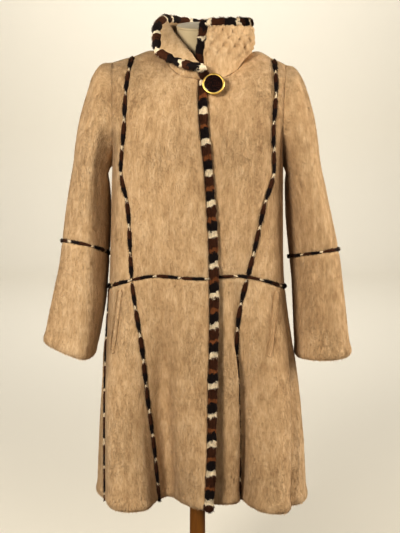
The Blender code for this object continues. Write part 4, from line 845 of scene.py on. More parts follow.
# --- finishes
class NodeSketch:
    """Lays out a material's nodes."""

    def __init__(self, name: str) -> None:
        """Starts a material of this name with a Principled shader."""
        self.material = bpy.data.materials.new(name)
        self.material.use_nodes = True
        self.tree = self.material.node_tree
        self.shader = self.tree.nodes["Principled BSDF"]

    def add(self, kind: str, inputs: dict[str | int, object] | None = None,
            **settings: object) -> bpy.types.Node:
        """A node with its settings and with values or links for its inputs."""
        node = self.tree.nodes.new(kind)
        for name, value in settings.items():
            setattr(node, name, value)
        for key, value in (inputs or {}).items():
            self.feed(node.inputs[key], value)
        return node

    def feed(self, socket: Socket, value: object) -> None:
        """Sets a socket, or links another socket to it."""
        if isinstance(value, Socket):
            self.tree.links.new(value, socket)
        else:
            socket.default_value = value

    def set(self, **values: object) -> None:
        """Feeds the shader's sockets, named with underscores for spaces."""
        for name, value in values.items():
            self.feed(self.shader.inputs[name.replace("_", " ")], value)

    def place(self, scale: Point) -> Socket:
        """The object's own coordinates, scaled."""
        where = self.add("ShaderNodeTexCoord").outputs["Object"]
        return self.add("ShaderNodeMapping", {"Vector": where, "Scale": scale}).outputs[0]

    def noise(self, scale: float, stretch: Point = (1, 1, 1), detail: float = 2.0, **more: float) -> Socket:
        """Noise over the object's own coordinates."""
        inputs = {"Vector": self.place(stretch), "Scale": scale, "Detail": detail}
        inputs.update({name.title(): value for name, value in more.items()})
        return self.add("ShaderNodeTexNoise", inputs).outputs["Fac"]

    def math(self, operation: str, *values: object) -> Socket:
        """A sum, product or other step on numbers."""
        return self.add("ShaderNodeMath", dict(enumerate(values)), operation=operation).outputs[0]

    def span(self, value: object, low: float, high: float, to_low: float = 0.0,
             to_high: float = 1.0) -> Socket:
        """A value carried from one range to another."""
        return self.add("ShaderNodeMapRange", {0: value, 1: low, 2: high, 3: to_low, 4: to_high}).outputs[0]

    def mix(self, share: object, first: object, second: object, blend: str = "MIX") -> Socket:
        """Two colours mixed."""
        colours = [(*c, 1.0) if isinstance(c, tuple) and len(c) == 3 else c for c in (first, second)]
        inputs = {0: share, 6: colours[0], 7: colours[1]}
        return self.add("ShaderNodeMix", inputs, data_type="RGBA", blend_type=blend).outputs[2]

    def ramp(self, value: object, stops: Sequence[tuple[float, Colour]], kind: str = "LINEAR") -> Socket:
        """Colours along a value."""
        node = self.add("ShaderNodeValToRGB", {0: value})
        node.color_ramp.interpolation = kind
        while len(node.color_ramp.elements) < len(stops):
            node.color_ramp.elements.new(1.0)
        for element, (place, colour) in zip(node.color_ramp.elements, stops):
            element.position = place
            element.color = (*colour, 1.0)
        return node.outputs[0]

    def bump(self, height: object, distance: float) -> Socket:
        """Relief from a height."""
        return self.add("ShaderNodeBump", {"Height": height, "Distance": distance, "Strength": 1.0}).outputs[0]

    def plus(self, one: object, other: object) -> Socket:
        """A sum."""
        return self.math("ADD", one, other)

    def times(self, one: object, other: object) -> Socket:
        """A product."""
        return self.math("MULTIPLY", one, other)

    def weighted(self, *parts: tuple[object, float]) -> Socket:
        """Two values added up, each with its weight."""
        return self.plus(*(self.times(value, weight) for value, weight in parts))


@dataclass(frozen=True)
class Finish:
    """A finish with a name, which paints its own material."""

    name: str

    def paint(self, sketch: NodeSketch) -> None:
        """Sets the shader; each finish has its own way."""
        raise NotImplementedError

    def material(self) -> Material:
        """The material."""
        sketch = NodeSketch(self.name)
        self.paint(sketch)
        return sketch.material


@dataclass(frozen=True)
class FurFinish(Finish):
    """Sheared faux fur: a dense soft pile with a nap that runs down."""

    name: str = "sheared_fur"
    # the ramp's colours: random tone, with painted highlight towards light and painted shade towards dark on
    # the pile's relief
    light: Colour = (0.74, 0.56, 0.36)
    middle: Colour = (0.60, 0.425, 0.250)
    dark: Colour = (0.45, 0.295, 0.160)
    pile_depth: float = 0.0013

    def paint(self, sketch: NodeSketch) -> None:
        """Sets the shader."""
        clouds = sketch.noise(7.0, (1, 1, 0.5), 2.0)
        patches = sketch.noise(75.0, (1, 1, 0.40), 4.0, roughness=0.6)
        streaks = sketch.noise(420.0, (1, 1, 0.10), 3.0, roughness=0.6)
        crinkle = sketch.noise(150.0, (1, 1, 0.45), 3.0, distortion=0.8)
        lines = sketch.math("ABSOLUTE", sketch.math("SUBTRACT", crinkle, 0.5))
        lines = sketch.span(lines, 0.0, 0.055)
        rough = sketch.span(sketch.noise(9.0, (1, 1, 0.5), 1.0), 0.50, 0.62)
        # Painted light in part: the clouds give random tone, while the patches and the streaks, which also
        # raise the bump below, paint highlight on the pile's raised places and shade in its hollows.
        tone = sketch.weighted((clouds, 0.42), (patches, 0.58))
        tone = sketch.plus(tone, sketch.span(streaks, 0.3, 0.7, -0.06, 0.06))
        # painted shade: the colour darkens along the crinkle lines, where the bump sinks into grooves
        groove_shade = sketch.times(sketch.math("SUBTRACT", 1.0, lines), sketch.times(rough, 0.06))
        tone = sketch.math("SUBTRACT", tone, groove_shade)
        colour = sketch.ramp(tone, ((0.32, self.dark), (0.50, self.middle), (0.68, self.light)))
        height = sketch.weighted((patches, 1.1), (streaks, 0.5))
        height = sketch.plus(height, sketch.times(lines, sketch.times(rough, 0.45)))
        sketch.set(
            Base_Color=colour,
            Roughness=0.95,
            Specular_IOR_Level=0.2,
            Sheen_Weight=0.30,
            Sheen_Roughness=0.40,
            Sheen_Tint=(1.0, 0.86, 0.68, 1.0),
            Normal=sketch.bump(height, self.pile_depth),
        )


@dataclass(frozen=True)
class BackingFinish(Finish):
    """The knitted back of the fur cloth, seen inside the coat."""

    name: str = "knit_backing"
    colour: Colour = (0.40, 0.285, 0.18)
    shade: Colour = (0.27, 0.18, 0.11)

    def paint(self, sketch: NodeSketch) -> None:
        """Sets the shader."""
        stitches = sketch.noise(700.0, (1, 1, 0.5), 1.0)
        cloud = sketch.noise(25.0, (1, 1, 1), 2.0)
        tone = sketch.weighted((stitches, 0.5), (cloud, 0.5))
        sketch.set(
            Base_Color=sketch.ramp(tone, ((0.35, self.shade), (0.62, self.colour))),
            Roughness=0.95,
            Normal=sketch.bump(stitches, 0.0006),
        )


class Yarn(Enum):
    """The braids' yarns."""

    CREAM = (0.92, 0.80, 0.60)
    BROWN = (0.095, 0.034, 0.014)
    RUSSET = (0.30, 0.115, 0.040)
    BLACK = (0.020, 0.012, 0.011)


@dataclass(frozen=True)
class BraidFinish(Finish):
    """A furry braid in blocks of yarn, by the length along it and the distance across it."""

    blocks: tuple[tuple[Yarn, float], ...]  # each yarn with its length in metres
    slope: float = 0.0  # how far a block's edge runs along for each metre across
    apex: float = 0.0  # where across the edges turn back
    offset: float = 0.0
    wander: float = 0.003

    def paint(self, sketch: NodeSketch) -> None:
        """Sets the shader, on the UV map: across and along in metres."""
        period = sum(length for _, length in self.blocks)
        uv = sketch.add("ShaderNodeSeparateXYZ", {0: sketch.add("ShaderNodeUVMap", uv_map="braid").outputs[0]})
        across = sketch.math("ABSOLUTE", sketch.math("SUBTRACT", uv.outputs[0], self.apex))
        fuzz = sketch.times(sketch.math("SUBTRACT", sketch.noise(110.0, detail=4.0), 0.5), self.wander * 4)
        along = sketch.plus(uv.outputs[1], sketch.times(across, self.slope))
        along = sketch.plus(sketch.plus(along, fuzz), self.offset)
        share = sketch.math("FRACT", sketch.math("DIVIDE", along, period))
        ends = np.cumsum([0, *(length for _, length in self.blocks)]) / period
        stops = [(float(end), yarn.value) for (yarn, _), end in zip(self.blocks, ends)]
        colour = sketch.ramp(share, stops, "CONSTANT")
        hairs = sketch.noise(520.0, (1, 1, 0.35), 3.0)
        # painted shade between the hairs and painted highlight on them: the yarn colours darken and brighten
        # with the noise that raises the hairs' bump
        shade = sketch.span(hairs, 0.3, 0.7, 0.70, 1.15)
        painted_hair_shade = sketch.add("ShaderNodeCombineColor", {0: shade, 1: shade, 2: shade}).outputs[0]
        colour = sketch.mix(1.0, colour, painted_hair_shade, "MULTIPLY")
        sketch.set(
            Base_Color=colour,
            Roughness=0.8,
            Sheen_Weight=0.08,
            Sheen_Roughness=0.4,
            Sheen_Tint=(1.0, 0.7, 0.5, 1.0),
            Specular_IOR_Level=0.2,
            Normal=sketch.bump(sketch.plus(hairs, sketch.noise(150.0, detail=2.0)), 0.0014),
        )


CHEVRONS = BraidFinish(
    "chevron_braid", ((Yarn.CREAM, 0.0130), (Yarn.BROWN, 0.0240), (Yarn.RUSSET, 0.0090), (Yarn.BLACK, 0.0217)),
    slope=-0.28, apex=-0.006, offset=0.005, wander=0.005,
)
DASHES = BraidFinish(
    "seam_braid", ((Yarn.BROWN, 0.026), (Yarn.BLACK, 0.025), (Yarn.CREAM, 0.009)), slope=-0.8, wander=0.006
)
BLOCKS = BraidFinish(
    "collar_braid",
    ((Yarn.BROWN, 0.028), (Yarn.CREAM, 0.010), (Yarn.BLACK, 0.019), (Yarn.BROWN, 0.013), (Yarn.CREAM, 0.009),
     (Yarn.BLACK, 0.031)),
    slope=0.4, wander=0.007,
)


@dataclass(frozen=True)
class GoldFinish(Finish):
    """Polished gilt metal with fine wear."""

    name: str = "gilt_rim"
    bright: Colour = (1.0, 0.78, 0.28)
    worn: Colour = (0.88, 0.60, 0.17)

    def paint(self, sketch: NodeSketch) -> None:
        """Sets the shader."""
        wear = sketch.noise(900.0, detail=4.0)
        sketch.set(
            Base_Color=sketch.ramp(wear, ((0.38, self.worn), (0.58, self.bright))),
            Metallic=1.0,
            Roughness=sketch.span(wear, 0.3, 0.7, 0.34, 0.50),
            Normal=sketch.bump(wear, 0.0001),
        )


@dataclass(frozen=True)
class EnamelFinish(Finish):
    """Glossy dark enamel with brown depths."""

    name: str = "dark_enamel"
    deep: Colour = (0.010, 0.006, 0.006)
    warm: Colour = (0.055, 0.018, 0.010)

    def paint(self, sketch: NodeSketch) -> None:
        """Sets the shader."""
        veins = sketch.noise(210.0, detail=5.0, distortion=2.2)
        sketch.set(
            Base_Color=sketch.ramp(veins, ((0.45, self.deep), (0.62, self.warm))),
            Roughness=0.16,
            Coat_Weight=0.6,
            Coat_Roughness=0.08,
            Normal=sketch.bump(veins, 0.00018),
        )


@dataclass(frozen=True)
class CanvasFinish(Finish):
    """Cream jersey stretched over the dress form."""

    name: str = "form_jersey"
    colour: Colour = (0.60, 0.50, 0.33)
    shade: Colour = (0.50, 0.41, 0.26)

    def paint(self, sketch: NodeSketch) -> None:
        """Sets the shader."""
        weave = sketch.noise(1300.0, (1, 1, 0.6), 1.0)
        cloud = sketch.noise(18.0, detail=2.0)
        tone = sketch.weighted((weave, 0.35), (cloud, 0.65))
        sketch.set(
            Base_Color=sketch.ramp(tone, ((0.30, self.shade), (0.55, self.colour))),
            Roughness=0.85,
            Sheen_Weight=0.2,
            Normal=sketch.bump(weave, 0.0003),
        )


@dataclass(frozen=True)
class WoodFinish(Finish):
    """Varnished wood with its grain along one axis."""

    stretch: Point
    light: Colour = (0.34, 0.165, 0.070)
    dark: Colour = (0.13, 0.050, 0.020)

    def paint(self, sketch: NodeSketch) -> None:
        """Sets the shader."""
        grain = sketch.noise(60.0, self.stretch, 5.0, distortion=0.8, roughness=0.65)
        pores = sketch.noise(420.0, self.stretch, 2.0)
        tone = sketch.weighted((grain, 0.75), (pores, 0.25))
        sketch.set(
            Base_Color=sketch.ramp(tone, ((0.36, self.dark), (0.62, self.light))),
            Roughness=sketch.span(pores, 0.3, 0.7, 0.30, 0.46),
            Coat_Weight=0.25,
            Coat_Roughness=0.2,
            Normal=sketch.bump(tone, 0.0002),
        )


@dataclass(frozen=True)
class WallFinish(Finish):
    """The studio's plain paint."""

    colour: Colour

    def paint(self, sketch: NodeSketch) -> None:
        """Sets the shader."""
        sketch.set(Base_Color=(*self.colour, 1.0), Roughness=0.9)


@dataclass(frozen=True)
class Finishes:
    """Every material of the coat, its form and its stand."""

    fur: Material
    backing: Material
    front_braid: Material
    seam_braid: Material
    collar_braid: Material
    gold: Material
    enamel: Material
    canvas: Material
    pole: Material
    base: Material

    @classmethod
    def made(cls) -> Finishes:
        """All of them."""
        return cls(
            fur=FurFinish().material(),
            backing=BackingFinish().material(),
            front_braid=CHEVRONS.material(),
            seam_braid=DASHES.material(),
            collar_braid=BLOCKS.material(),
            gold=GoldFinish().material(),
            enamel=EnamelFinish().material(),
            canvas=CanvasFinish().material(),
            pole=WoodFinish("pole_wood", (1, 1, 0.06), (0.27, 0.115, 0.016), (0.20, 0.080, 0.012)).material(),
            base=WoodFinish("base_wood", (0.12, 1, 1)).material(),
        )


# --- meshes
def placed(name: str, data: bpy.types.ID) -> Piece:
    """A new object in the scene."""
    thing = bpy.data.objects.new(name, data)
    bpy.context.scene.collection.objects.link(thing)
    return thing


def dress(piece: Piece, node: str) -> None:
    """Puts a piece in its solid's place."""
    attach(piece, BODY)
    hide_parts(node)
    LOG.info("%s stands for %s", piece.name, node)


def mesh_object(name: str, points: Array, faces: Array | list[list[int]],
                materials: Sequence[Material],
                slots: Array | None = None) -> Piece:
    """A smooth-shaded mesh in the scene.

    Args:
        name: The object's name.
        points: Its vertices.
        faces: Its faces, as rows of vertex numbers.
        materials: Its materials.
        slots: Which material each face has.

    Returns:
        The object.
    """
    mesh = bpy.data.meshes.new(name)
    mesh.from_pydata(points.tolist(), [], faces if isinstance(faces, list) else faces.tolist())
    for material in materials:
        mesh.materials.append(material)
    if slots is not None:
        mesh.polygons.foreach_set("material_index", np.asarray(slots, np.int32))
    mesh.shade_smooth()
    return placed(name, mesh)


def grid_faces(rows: int, columns: int, closed: bool = True, ring: bool = False) -> Array:
    """Quads of a grid of vertices.

    Args:
        rows: The grid's rows.
        columns: Its columns.
        closed: Whether the last column joins the first.
        ring: Whether the last row joins the first.

    Returns:
        The quads, row by row.
    """
    row, column = np.indices((rows - (not ring), columns - (not closed))).reshape(2, -1)
    after, low, high = (column + 1) % columns, row * columns, (row + 1) % rows * columns
    return np.stack([low + column, low + after, high + after, high + column], axis=1)


def wall_faces(rows: int, columns: int, closed: bool, flip: bool) -> tuple[Array, Array]:
    """Faces of a wall between an outer and an inner grid.

    Args:
        rows: The grids' rows.
        columns: Their columns.
        closed: Whether the last column joins the first.
        flip: Whether the columns run clockwise as seen from outside.

    Returns:
        The quads, and for each whether it belongs to the inner face.
    """
    outer, count = grid_faces(rows, columns, closed), rows * columns
    rims = [rim_faces(np.arange(columns), count, closed)]
    rims.append(rim_faces(np.arange(columns) + (rows - 1) * columns, count, closed)[:, ::-1])
    if not closed:
        rims.append(rim_faces(np.arange(rows) * columns, count, False)[:, ::-1])
        rims.append(rim_faces(np.arange(rows) * columns + columns - 1, count, False))
    faces = np.concatenate([outer, outer[:, ::-1] + count, *rims])
    inside = np.zeros(len(faces), int)
    inside[len(outer) : 2 * len(outer)] = 1
    return (faces[:, ::-1] if flip else faces), inside


def rim_faces(line: Array, offset: int, closed: bool) -> Array:
    """Quads between a line of outer vertices and the inner vertices at an offset."""
    first, second = (line, np.roll(line, -1)) if closed else (line[:-1], line[1:])
    return np.stack([second, first, first + offset, second + offset], axis=1)


@dataclass(frozen=True)
class Rounding:
    """How the pile rounds down at an edge."""

    radius: float
    depth: float
    swell: float = 0.0  # how far it stands out where it turns

    def drop(self, distance: Array) -> Array:
        """How far the pile lies below its full height at a distance from the edge."""
        near = 1 - np.clip(distance / self.radius, 0, 1)
        return self.depth * (1 - np.sqrt(1 - near * near))

    def rise(self, distance: Array) -> Array:
        """How far the pile swells before it turns in."""
        return self.swell * np.exp(-(((distance - self.radius) / self.radius) ** 2))


BRAIDED = Rounding(0.015, 0.0034)
SEWN = Rounding(0.005, 0.0)
RAW = Rounding(0.012, 0.0045, swell=0.0022)
EDGES = ("start", "end", "bottom", "top")


@dataclass(frozen=True)
class Crease:
    """A soft trough, or a ridge where the depth is negative, along a line of points on the cloth."""

    line: tuple[Point, ...]
    width: float
    depth: float

    def drop(self, points: Array) -> Array:
        """How far the cloth lies in at each point."""
        best = np.full(points.shape[:-1], np.inf)
        taper = np.zeros(points.shape[:-1])
        line = np.array(self.line)
        places = run_length(line) / run_length(line)[-1]
        for start, end, first, last in zip(line, line[1:], places, places[1:]):
            along = end - start
            share = np.clip(((points - start) @ along) / (along @ along), 0, 1)
            away = np.linalg.norm(points - start - share[..., None] * along, axis=-1)
            nearer = away < best
            best = np.where(nearer, away, best)
            taper = np.where(nearer, first + share * (last - first), taper)
        fade = np.sin(np.pi * np.clip(taper, 0.02, 0.98)) ** 0.6
        return self.depth * np.exp(-((best / self.width) ** 2)) * fade


@dataclass(frozen=True)
class Nap:
    """Short fibres that lie along the pile."""

    length: float = 0.0070
    width: float = 0.0009
    lift: float = 0.20  # how far a fibre rises for its length
    sway: float = 0.45  # how far the fibres turn aside in the crinkled places
    scatter: float = 0.22
    density: float = 150_000.0  # for each square metre
    crinkle: Point = (0.030, 0.030, 0.045)  # how wide the crinkled places are
    least: float = 0.6  # the shortest and the flattest fibre, as a share
    glint: float = 0.22  # how far the fibres' shading differs from the cloth's

    def lay(self, name: str, outer: Patch, along: float, cover: Array, material: Material,
            uv: Array | None = None) -> Piece:
        """A joined mesh of fibres over a grid.

        Args:
            name: The mesh's name.
            outer: The grid's points and outward normals.
            along: 1 where the nap runs with the rows, -1 where it runs against them.
            cover: The share of fibres at each point, from 0 to 1.
            material: Their finish.
            uv: The grid's "braid" places, across and along, for fibres of a braid.

        Returns:
            The mesh, which moves with the coat.
        """
        fields = [outer.points, outer.normals, np.repeat(cover[..., None], 3, axis=2)]
        if uv is not None:
            fields.append(np.concatenate([uv, uv[..., :1] * 0], axis=2))
        if outer.closed:
            fields = [closed_up(values) for values in fields]
        corners = [(grid[:-1, :-1], grid[:-1, 1:], grid[1:, :-1], grid[1:, 1:]) for grid in fields]
        low_left, low_right, high_left, _ = corners[0]
        area = np.linalg.norm(np.cross(low_right - low_left, high_left - low_left), axis=2).ravel()
        chance = np.random.default_rng(len(name) * 1000 + area.size)
        total = np.cumsum(area)
        count = int(total[-1] * self.density)
        quad = np.minimum(np.searchsorted(total, chance.random(count) * total[-1]), area.size - 1)
        across, up = chance.random((2, count, 1))
        weights = ((1 - across) * (1 - up), across * (1 - up), (1 - across) * up, across * up)
        root, normal, share, *place = (
            sum(weight * corner.reshape(-1, 3)[quad] for weight, corner in zip(weights, four))
            for four in corners
        )
        grain = unit((high_left - low_left).reshape(-1, 3)[quad]) * along
        kept = chance.random(count) < share[:, 0]
        root, normal, grain = root[kept], unit(normal[kept]), grain[kept]
        aside = unit(np.cross(normal, grain))
        turn = self.sway * lumps(root, self.crinkle, 21) ** 3 * 3
        turn = turn + self.scatter * chance.standard_normal(len(root))
        lean = self.lift * (self.least + 0.8 * chance.random(len(root)))
        way = unit(grain + aside * turn[:, None] + normal * lean[:, None])
        size = self.length * (self.least + 0.6 * chance.random(len(root)))[:, None]
        half = aside * self.width / 2
        points = np.stack([root + half, root - half, root + way * size], axis=1)
        shading = unit(normal + self.glint * chance.standard_normal(root.shape))
        piece = self.joined(name, points, np.repeat(shading, 3, axis=0), material)
        if place:
            layer = piece.data.uv_layers.new(name="braid")
            layer.data.foreach_set("uv", np.repeat(place[0][kept, :2], 3, axis=0).astype(np.float32).ravel())
        return piece

    def joined(self, name: str, points: Array, shading: Array, material: Material) -> Piece:
        """One mesh of separate triangles, shaded like the cloth under them."""
        count = len(points)
        mesh = bpy.data.meshes.new(name)
        mesh.vertices.add(3 * count)
        mesh.vertices.foreach_set("co", points.astype(np.float32).ravel())
        mesh.loops.add(3 * count)
        mesh.loops.foreach_set("vertex_index", np.arange(3 * count, dtype=np.int32))
        mesh.polygons.add(count)
        mesh.polygons.foreach_set("loop_start", np.arange(0, 3 * count, 3, dtype=np.int32))
        mesh.update(calc_edges=True)
        mesh.materials.append(material)
        mesh.shade_smooth()
        mesh.normals_split_custom_set_from_vertices(shading.astype(np.float32))
        piece = placed(name, mesh)
        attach(piece, BODY)
        LOG.info("%s: %d fibres", name, count)
        return piece


TUFTS = Nap(length=0.0056, width=0.0010, lift=0.8, sway=0.0, scatter=0.6, density=500_000.0)  # on the braids


@dataclass(frozen=True)
class Tailor:
    """Makes the fur's pieces from grids of the cloth."""

    finishes: Finishes
    nap: Nap
    creases: tuple[Crease, ...]
    swell: float = 0.0012  # how far the nap rises and falls
    swells: tuple[tuple[float, Point, int], ...] = (  # each field's share, size and seed
        (1.0, (0.045, 0.045, 0.11), 1),
        (0.6, (0.019, 0.019, 0.05), 2),
        (0.35, (0.010, 0.010, 0.022), 3),
    )
    settled: float = 0.02  # how far from an edge the relief is whole
    deepest: float = 0.0045  # relief below this pushes the wall's inside in too
    hem_thins: float = 0.2
    thinned: float = 0.35  # the share of the nap's fibres on gathered cloth
    bare: tuple[float, float] = (0.002, 0.012)  # how far from a braid the nap starts, and fades in

    def relief(self, points: Array) -> Array:
        """How far the pile stands out at each point, apart from its edges."""
        out = self.swell * sum(share * lumps(points, size, seed) for share, size, seed in self.swells)
        for crease in self.creases:
            out = out - crease.drop(points)
        return out

    def cloth(self, node: str, patch: Patch, edges: dict[str, Rounding], side: int, rests_on: Sequence[str],
              wall: float = WALL, held: str = "draped", inside: Material | None = None,
              extra: Callable[[Patch], Array] | None = None, spacing: float = 0.006) -> Piece:
        """A piece of fur cloth that stands for a solid.

        Args:
            node: The solid's name.
            patch: Its outer grid.
            edges: How the pile ends at its start, end, bottom and top.
            side: 1 where the columns run anticlockwise as seen from outside, -1 where clockwise.
            rests_on: What it lies on; not used.
            wall: Its thickness.
            held: How it is held.
            inside: The inner face's material, or the knit backing.
            extra: More relief, from the refined grid.
            spacing: How far apart the refined grid's points are.

        Returns:
            The piece.
        """
        fine = patch.refined(spacing)
        away = fine.edge_lengths()
        drop = np.max([rounding.drop(away[edge]) for edge, rounding in edges.items()], axis=0)
        drop = drop - np.sum([rounding.rise(away[edge]) for edge, rounding in edges.items()], axis=0)
        free = smooth(np.min([away[edge] for edge in edges], axis=0) / self.settled)
        out = self.relief(fine.points) * free - drop
        if extra is not None:
            out = out + extra(fine)
        inner = np.full(out.shape, -wall)
        if edges.get("bottom") is RAW:
            inner += RAW.drop(away["bottom"]) * self.hem_thins
        inner -= np.maximum(0, -out - self.deepest) * (drop < 0.001)
        rows, columns = out.shape
        points = np.concatenate([fine.moved(out).reshape(-1, 3), fine.moved(inner).reshape(-1, 3)])
        faces, slots = wall_faces(rows, columns, patch.closed, flip=side < 0)
        materials = (self.finishes.fur, inside or self.finishes.backing)
        piece = mesh_object(f"{node}_fur", points, faces, materials, slots)
        dress(piece, node)
        width, length, area = fine.flat()
        LOG.info("%s: %d faces, cut %.0f x %.0f mm", piece.name, len(faces), width * 1000, length * 1000)
        bare = [away[edge] for edge, rounding in edges.items() if rounding is BRAIDED] or [np.ones(out.shape)]
        outer = Patch(fine.moved(out), fine.normals, patch.closed)
        cover = smooth((np.min(bare, axis=0) - self.bare[0]) / self.bare[1])
        cover = cover * (1.0 if extra is None else self.thinned)
        self.nap.lay(f"{node}_nap", outer, 1.0 if held == "hung" else -1.0, cover, self.finishes.fur)
        return piece


@dataclass(frozen=True)
class BraidSection:
    """A braid's cross-section: half its width, half its thickness, and how far its middle stands out."""

    half_wide: float
    half_thick: float
    out: float
    pinch: float = 0.0  # how much narrower it is at its narrow places
    period: float = 0.060  # the length from one narrow place to the next
    start: float = 0.0
    around: int = 14
    square: float = 2.4
    first: float = 1.0  # its width where it starts, as a share


@dataclass(frozen=True)
class BraidMaker:
    """Makes braids that lie along lines of the cloth."""

    tufts: Nap
    spacing: float = 0.004
    lumpy: tuple[tuple[float, float, int], ...] = ((0.12, 0.007, 5), (0.14, 0.016, 6))  # share, size and seed
    taper: float = 0.004  # how far from its ends it thins
    end_share: float = 0.15

    def lay(self, node: str, line: Array, normals: Array, section: BraidSection, material: Material,
            closed: bool = False) -> Piece:
        """A braid along a line.

        Args:
            node: The solid that it stands for.
            line: Points along the cloth.
            normals: The cloth's outward normals there.
            section: Its cross-section.
            material: Its yarns.
            closed: Whether its ends meet.

        Returns:
            The piece.
        """
        if closed:
            line, normals = np.concatenate([line, line[:1]]), np.concatenate([normals, normals[:1]])
        length = run_length(line)
        steps = max(6, round(length[-1] / self.spacing))
        at = np.linspace(0, length[-1], steps + 1)
        points, out = through(length, line, at), unit(through(length, normals, at))
        tangent = unit(np.gradient(points, axis=0))
        across = unit(np.cross(tangent, out))
        out = unit(np.cross(across, tangent))
        angle = 2 * math.pi * np.arange(section.around) / section.around
        wide, thick = squared(angle, section.square)
        wave = 0.5 + 0.5 * np.cos(2 * math.pi * (at - section.start) / section.period)
        fuzz = 1 + sum(share * lumps(points, size, seed) for share, size, seed in self.lumpy)
        size = (1 - section.pinch * smooth(wave * 1.6 - 0.6)) * fuzz * np.linspace(section.first, 1, len(at))
        if not closed:
            size = size * np.sqrt(np.clip(np.minimum(at, length[-1] - at) / self.taper, self.end_share, 1.0))
        ring = (
            across[:, None] * (section.half_wide * size)[:, None, None] * wide[None, :, None]
            + out[:, None] * (section.half_thick * fuzz)[:, None, None] * thick[None, :, None]
        )
        grid = (points + out * section.out)[:, None] + ring
        rows, columns = grid.shape[:2]
        rows_used = rows - 1 if closed else rows
        faces = grid_faces(rows_used, columns, ring=closed)
        piece = mesh_object(f"{node}_yarn", grid[:rows_used].reshape(-1, 3), faces, (material,))
        LOG.info("%s: %.0f mm long", piece.name, length[-1] * 1000)
        self.map_yarn(piece, faces, np.array([section.half_wide * wide] * rows), at, columns)
        self.close_ends(piece, closed)
        dress(piece, node)
        outward = unit(grid - (points + out * section.out)[:, None])
        whole = Patch(closed_up(grid), closed_up(outward))
        shown = smooth((whole.normals * out[:, None]).sum(axis=2) * 2 + 0.6)
        places = np.broadcast_arrays(section.half_wide * np.append(wide, wide[0])[None], at[:, None])
        self.tufts.lay(f"{node}_tufts", whole, 1.0, shown, material, np.stack(places, axis=2))
        return piece

    def map_yarn(self, piece: Piece, faces: Array, across: Array, along: Array, columns: int) -> None:
        """Lays the UV map: metres across the braid and metres along it."""
        layer = piece.data.uv_layers.new(name="braid")
        row, column = faces[:, 0] // columns, faces[:, 0] % columns
        after = (column + 1) % columns
        u = np.stack([across[0, column], across[0, after], across[0, after], across[0, column]], axis=1)
        v = np.stack([along[row], along[row], along[row + 1], along[row + 1]], axis=1)
        layer.data.foreach_set("uv", np.stack([u, v], axis=2).astype(np.float32).ravel())

    def close_ends(self, piece: Piece, closed: bool) -> None:
        """Caps the ends and turns the faces outwards."""
        work = bmesh.new()
        work.from_mesh(piece.data)
        if not closed:
            bmesh.ops.holes_fill(work, edges=[edge for edge in work.edges if edge.is_boundary], sides=0)
        bmesh.ops.recalc_face_normals(work, faces=work.faces)
        work.to_mesh(piece.data)
        work.free()
        piece.data.shade_smooth()


# --- the coat
CREASES = (
    # the ridges along the sleeves' fronts, and the folds behind them
    Crease(((-0.230, -0.084, 1.215), (-0.242, -0.090, 1.120), (-0.246, -0.090, 1.019), (-0.253, -0.090, 0.893),
            (-0.269, -0.088, 0.770)), 0.013, -0.0032),
    Crease(((0.264, -0.076, 1.190), (0.273, -0.080, 1.119), (0.2855, -0.082, 1.007), (0.298, -0.082, 0.897),
            (0.314, -0.084, 0.770)), 0.012, -0.0028),
    Crease(((-0.262, -0.080, 1.330), (-0.268, -0.088, 1.230), (-0.279, -0.086, 1.120)), 0.014, 0.0030),
    Crease(((0.238, -0.078, 1.300), (0.244, -0.086, 1.200), (0.250, -0.086, 1.090)), 0.012, 0.0030),
    Crease(((-0.245, 0.080, 1.260), (-0.252, 0.084, 1.120), (-0.268, 0.074, 0.960)), 0.016, 0.0034),
    Crease(((0.248, 0.080, 1.250), (0.258, 0.084, 1.100), (0.276, 0.072, 0.940)), 0.015, 0.0036),
    # soft folds from the bust and over the back
    Crease(((-0.150, -0.110, 1.290), (-0.122, -0.130, 1.170), (-0.112, -0.138, 1.020)), 0.024, 0.0032),
    Crease(((-0.086, -0.128, 1.240), (-0.078, -0.140, 1.120), (-0.080, -0.145, 0.985)), 0.018, -0.0022),
    Crease(((0.156, -0.110, 1.270), (0.124, -0.130, 1.150), (0.108, -0.138, 1.010)), 0.022, 0.0034),
    Crease(((0.086, -0.124, 1.230), (0.076, -0.134, 1.120), (0.072, -0.138, 0.990)), 0.016, -0.0020),
    Crease(((-0.120, 0.112, 1.300), (-0.100, 0.128, 1.150), (-0.104, 0.137, 0.990)), 0.022, 0.0034),
    Crease(((0.112, 0.114, 1.290), (0.094, 0.128, 1.130), (0.098, 0.137, 0.980)), 0.024, 0.0030),
    # the valleys of the skirt
    Crease(((-0.066, -0.066, 0.380), (-0.066, -0.072, 0.450), (-0.072, -0.087, 0.560), (-0.074, -0.102, 0.680),
            (-0.072, -0.115, 0.810)), 0.019, 0.0110),
    Crease(((0.100, -0.082, 0.380), (0.101, -0.088, 0.450), (0.101, -0.098, 0.560), (0.101, -0.108, 0.680),
            (0.099, -0.118, 0.840)), 0.014, 0.0110),
    Crease(((-0.115, 0.116, 0.380), (-0.106, 0.124, 0.560), (-0.099, 0.127, 0.679), (-0.091, 0.128, 0.790)),
           0.018, 0.0090),
    Crease(((0.122, 0.112, 0.380), (0.111, 0.120, 0.560), (0.101, 0.124, 0.679), (0.091, 0.125, 0.800)),
           0.018, 0.0090),
    # the turned-out end of the collar
    Crease(((-0.036, -0.112, 1.392), (-0.052, -0.098, 1.418), (-0.060, -0.080, 1.450)), 0.009, 0.0026),
    Crease(((-0.066, -0.098, 1.398), (-0.078, -0.084, 1.428), (-0.078, -0.062, 1.462)), 0.010, 0.0022),
)


